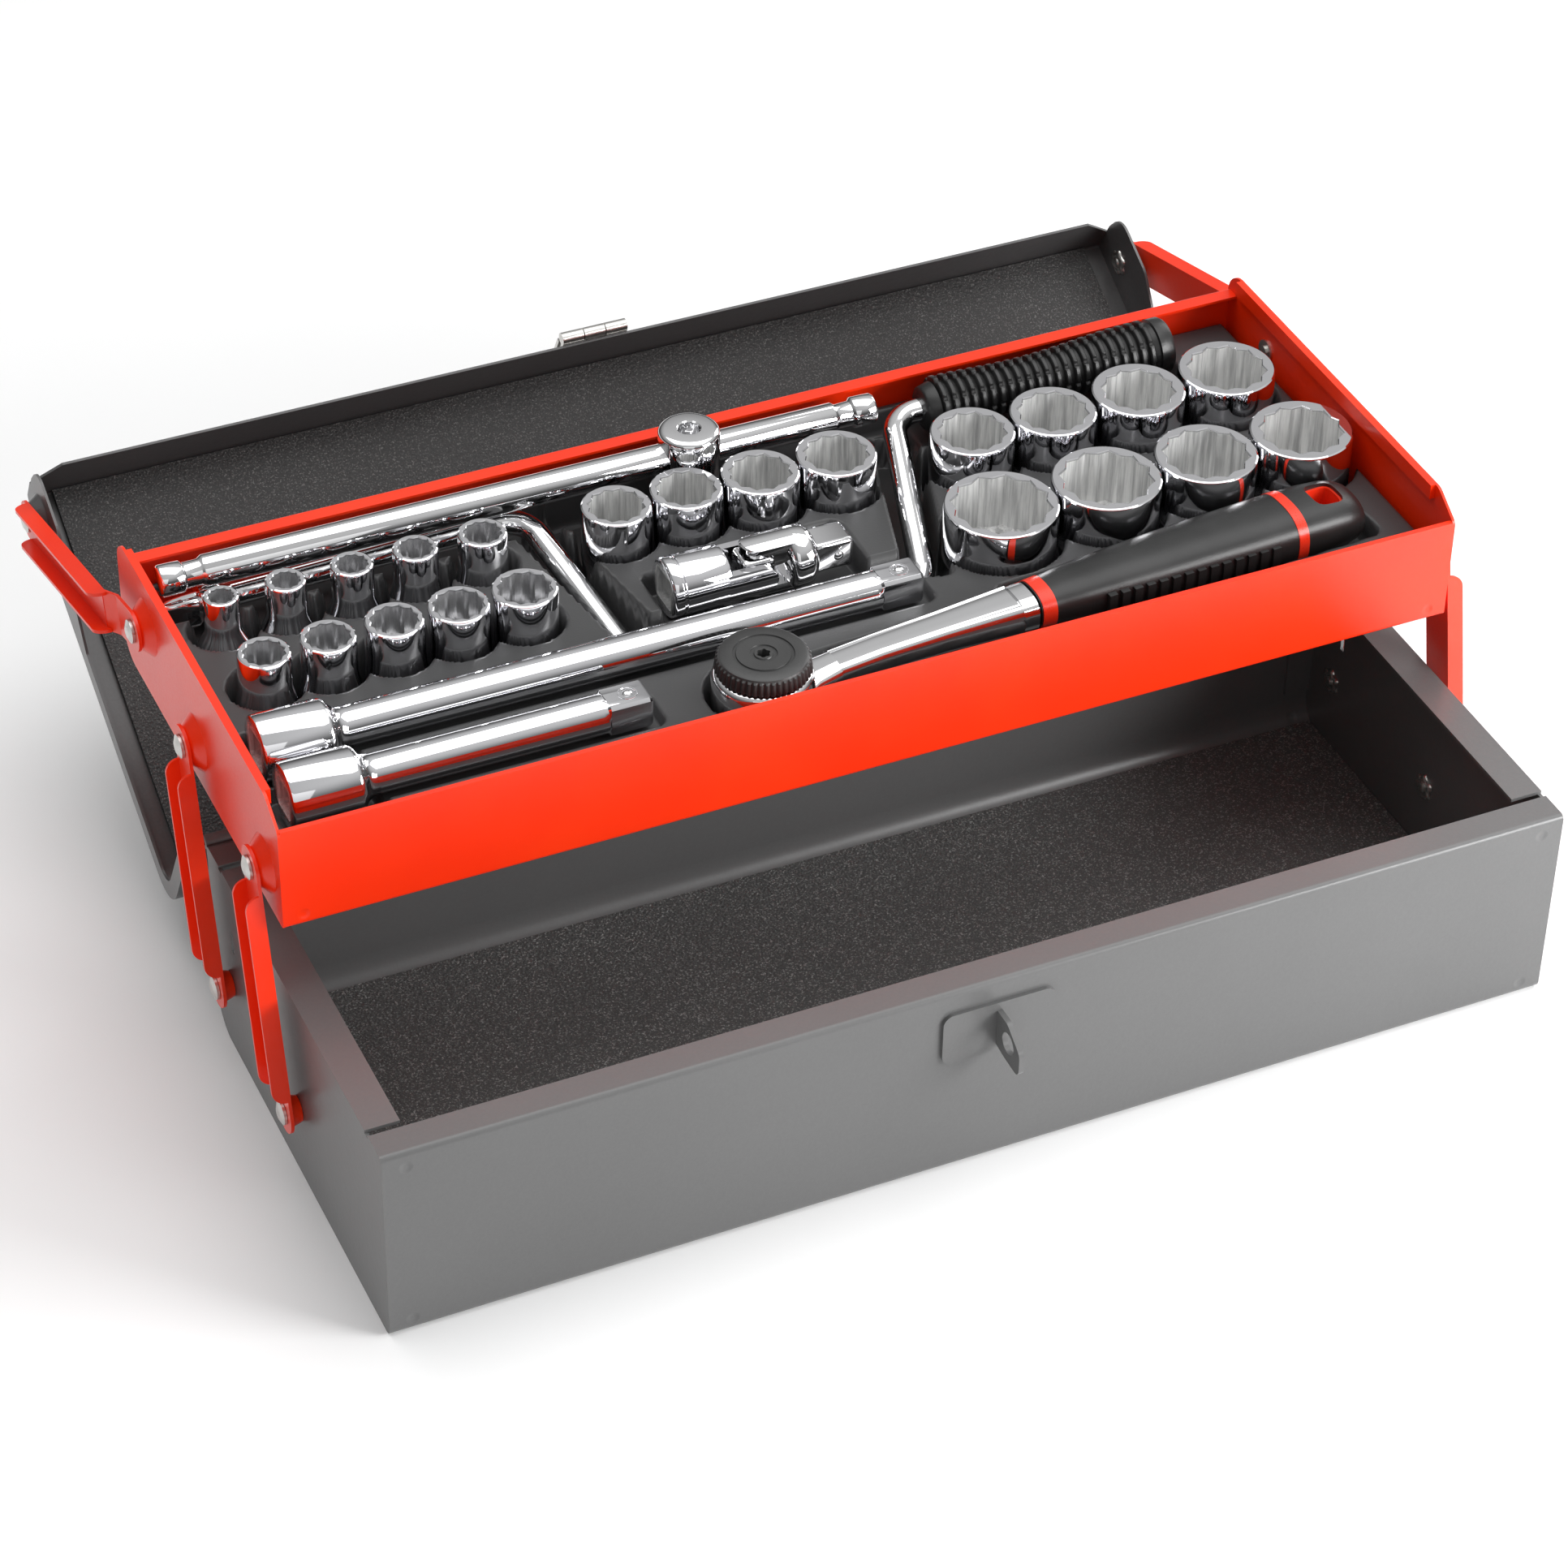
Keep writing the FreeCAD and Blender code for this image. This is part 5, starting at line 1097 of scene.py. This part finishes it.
def handle_troughs():
    turn = math.radians(RATCHET[2])
    made = []
    for near, far, half, floor in ((14.0, 107.0, 10.4, 19.6), (103.0, 245.0, 15.8, 17.6)):
        start = (RATCHET[0] + (near + half) * math.cos(turn), RATCHET[1] + (near + half) * math.sin(turn))
        end = (RATCHET[0] + (far - half) * math.cos(turn), RATCHET[1] + (far - half) * math.sin(turn))
        made.append(slanted(start, end, half, floor))
    return made


def formed_sheet(graph, given):
    """a flat sheet pressed down into every pocket, with soft rims and sloped walls"""
    grid = graph.node("GeometryNodeMeshGrid", Size_X=given["Length"] * MM,
                      Size_Y=given["Depth"] * MM, Vertices_X=given["Columns"],
                      Vertices_Y=given["Rows"])
    x, y, _ = graph.parts(graph.node("GeometryNodeInputPosition").outputs[0])
    x, y = x * 1000.0 + 225.0, y * 1000.0 + given["Depth"] / 2 + 2.5
    top, wall = given["Top"], given["Wall"]
    level = top + 0.0

    def press(level, distance, floor):
        share = 1.0 - distance.step(-0.35, wall)
        return level.least(top + (floor - top) * share)

    for cx, cy, radius, floor in WELLS:
        dx, dy = x - cx, y - cy
        level = press(level, (dx * dx + dy * dy).root() - radius, floor)
    soft = 3.0
    slabs = [((a + b) / 2, (c + d) / 2, (b - a) / 2, (d - c) / 2, 0.0, floor)
             for a, b, c, d, floor in TROUGHS]
    for cx, cy, half_x, half_y, angle, floor in slabs + brace_troughs() + handle_troughs():
        dx, dy = x - cx, y - cy
        along = dx * math.cos(angle) + dy * math.sin(angle)
        across = dy * math.cos(angle) - dx * math.sin(angle)
        out_x = abs(along) - (half_x - soft)
        out_y = abs(across) - (half_y - soft)
        far_x, far_y = out_x.most(0.0), out_y.most(0.0)
        distance = (far_x * far_x + far_y * far_y).root() + out_x.most(out_y).least(0.0) - soft
        level = press(level, distance, floor)
    edge = (abs(x - 225.0) - (given["Length"] / 2 - 0.2)).most(
        abs(y - given["Depth"] / 2 - 2.5) - (given["Depth"] / 2 - 0.2))
    level = level - edge.step(-2.2, 0.0) * 2.6
    offset = graph.vector(0.0, 0.0, level * MM)
    placed = graph.node("GeometryNodeSetPosition", Geometry=grid.outputs[0], Offset=offset)
    smooth = graph.node("GeometryNodeSetShadeSmooth", Geometry=placed.outputs[0])
    return smooth.outputs[0]


insert_low, insert_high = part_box("tool_insert")
insert = grown("formed_insert", formed_sheet,
               {"Length": (insert_high.x - insert_low.x) / MM,
                "Depth": (insert_high.y - insert_low.y) / MM,
                "Top": PLATE_TOP / MM, "Wall": 1.7, "Columns": 512, "Rows": 190}, "insert")
insert.data.transform(Matrix.Translation((0.0, (insert_low.y + insert_high.y) / 2, TRAY_LOW.z)))
stand_for(insert, "tray", "insert_plastic", "tool_insert")

# ---- stage: floor, light, camera ----------------------------------------------------------------
def stage_floor():
    mesh = bpy.data.meshes.new("floor")
    mesh.from_pydata([(-9, -9, 0), (9, -9, 0), (9, 9, 0), (-9, 9, 0)], [], [(0, 1, 2, 3)])
    floor = bpy.data.objects.new("floor", mesh)
    bpy.context.scene.collection.objects.link(floor)
    paint = Paint("pale_floor")
    cloud = paint.noise(3.0, 2.0)
    paint.set(Base_Color=paint.blend(cloud, colour(0.93, 0.93, 0.93), colour(0.95, 0.95, 0.95)),
              Roughness=0.55 + cloud * 0.05)
    mesh.materials.append(paint.material)


def area_light(name, place, target, size, power, tint=(1.0, 1.0, 1.0)):
    data = bpy.data.lights.new(name, "AREA")
    data.shape = "RECTANGLE"
    data.size, data.size_y = size
    data.energy = power
    data.color = tint
    lamp = bpy.data.objects.new(name, data)
    bpy.context.scene.collection.objects.link(lamp)
    lamp.location = place
    aim = Vector(target) - Vector(place)
    lamp.rotation_euler = aim.to_track_quat("-Z", "Y").to_euler()


def studio():
    """an even pale sky that is darker towards the horizon, and soft boxes"""
    world = bpy.data.worlds.new("studio")
    bpy.context.scene.world = world
    world.use_nodes = True
    sky = Graph(world.node_tree)
    background = world.node_tree.nodes["Background"]
    spot = sky.node("ShaderNodeTexCoord")
    side, _, height = sky.parts(spot.outputs["Generated"])
    shade = sky.blend(height.step(0.10, 0.80), colour(0.14, 0.14, 0.14), colour(1.0, 1.0, 1.0))
    sky.feed(background.inputs["Color"], shade)
    sky.feed(background.inputs["Strength"], 0.60 + side * 0.20)
    area_light("overhead", (0.1, 0.30, 1.7), (0.0, 0.1, 0.1), (2.4, 1.5), 20.0)
    area_light("left_front", (-0.8, -1.7, 1.0), (0.0, 0.0, 0.08), (1.4, 1.2), 3.0)
    area_light("right_front", (0.82, -0.78, 0.46), (0.20, 0.0, 0.08), (0.6, 0.6), 17.0)
    area_light("right_back", (1.6, 0.9, 0.9), (0.0, 0.1, 0.1), (0.8, 1.0), 7.0)
    bpy.context.scene.view_settings.view_transform = "Standard"


CAMERA = {"azimuth": -25.024, "elevation": 38.880, "roll": 1.163, "lens": 107.37,
          "place": (-0.57654, -1.14502, 1.13542)}


def camera():
    azimuth, elevation, roll = [math.radians(CAMERA[k]) for k in ("azimuth", "elevation", "roll")]
    back = Vector((math.sin(azimuth) * math.cos(elevation),
                   -math.cos(azimuth) * math.cos(elevation), math.sin(elevation)))
    right = Vector((math.cos(azimuth), math.sin(azimuth), 0.0))
    up = back.cross(right)
    tilted_right = math.cos(roll) * right + math.sin(roll) * up
    tilted_up = math.cos(roll) * up - math.sin(roll) * right
    data = bpy.data.cameras.new("camera")
    data.lens = CAMERA["lens"]
    data.sensor_width = 36.0
    data.clip_start = 0.05
    data.clip_end = 60.0
    body = bpy.data.objects.new("camera", data)
    bpy.context.scene.collection.objects.link(body)
    turn = Matrix((tilted_right, tilted_up, back)).transposed()
    body.matrix_world = Matrix.Translation(CAMERA["place"]) @ turn.to_4x4()
    bpy.context.scene.camera = body


stage_floor()
studio()
camera()
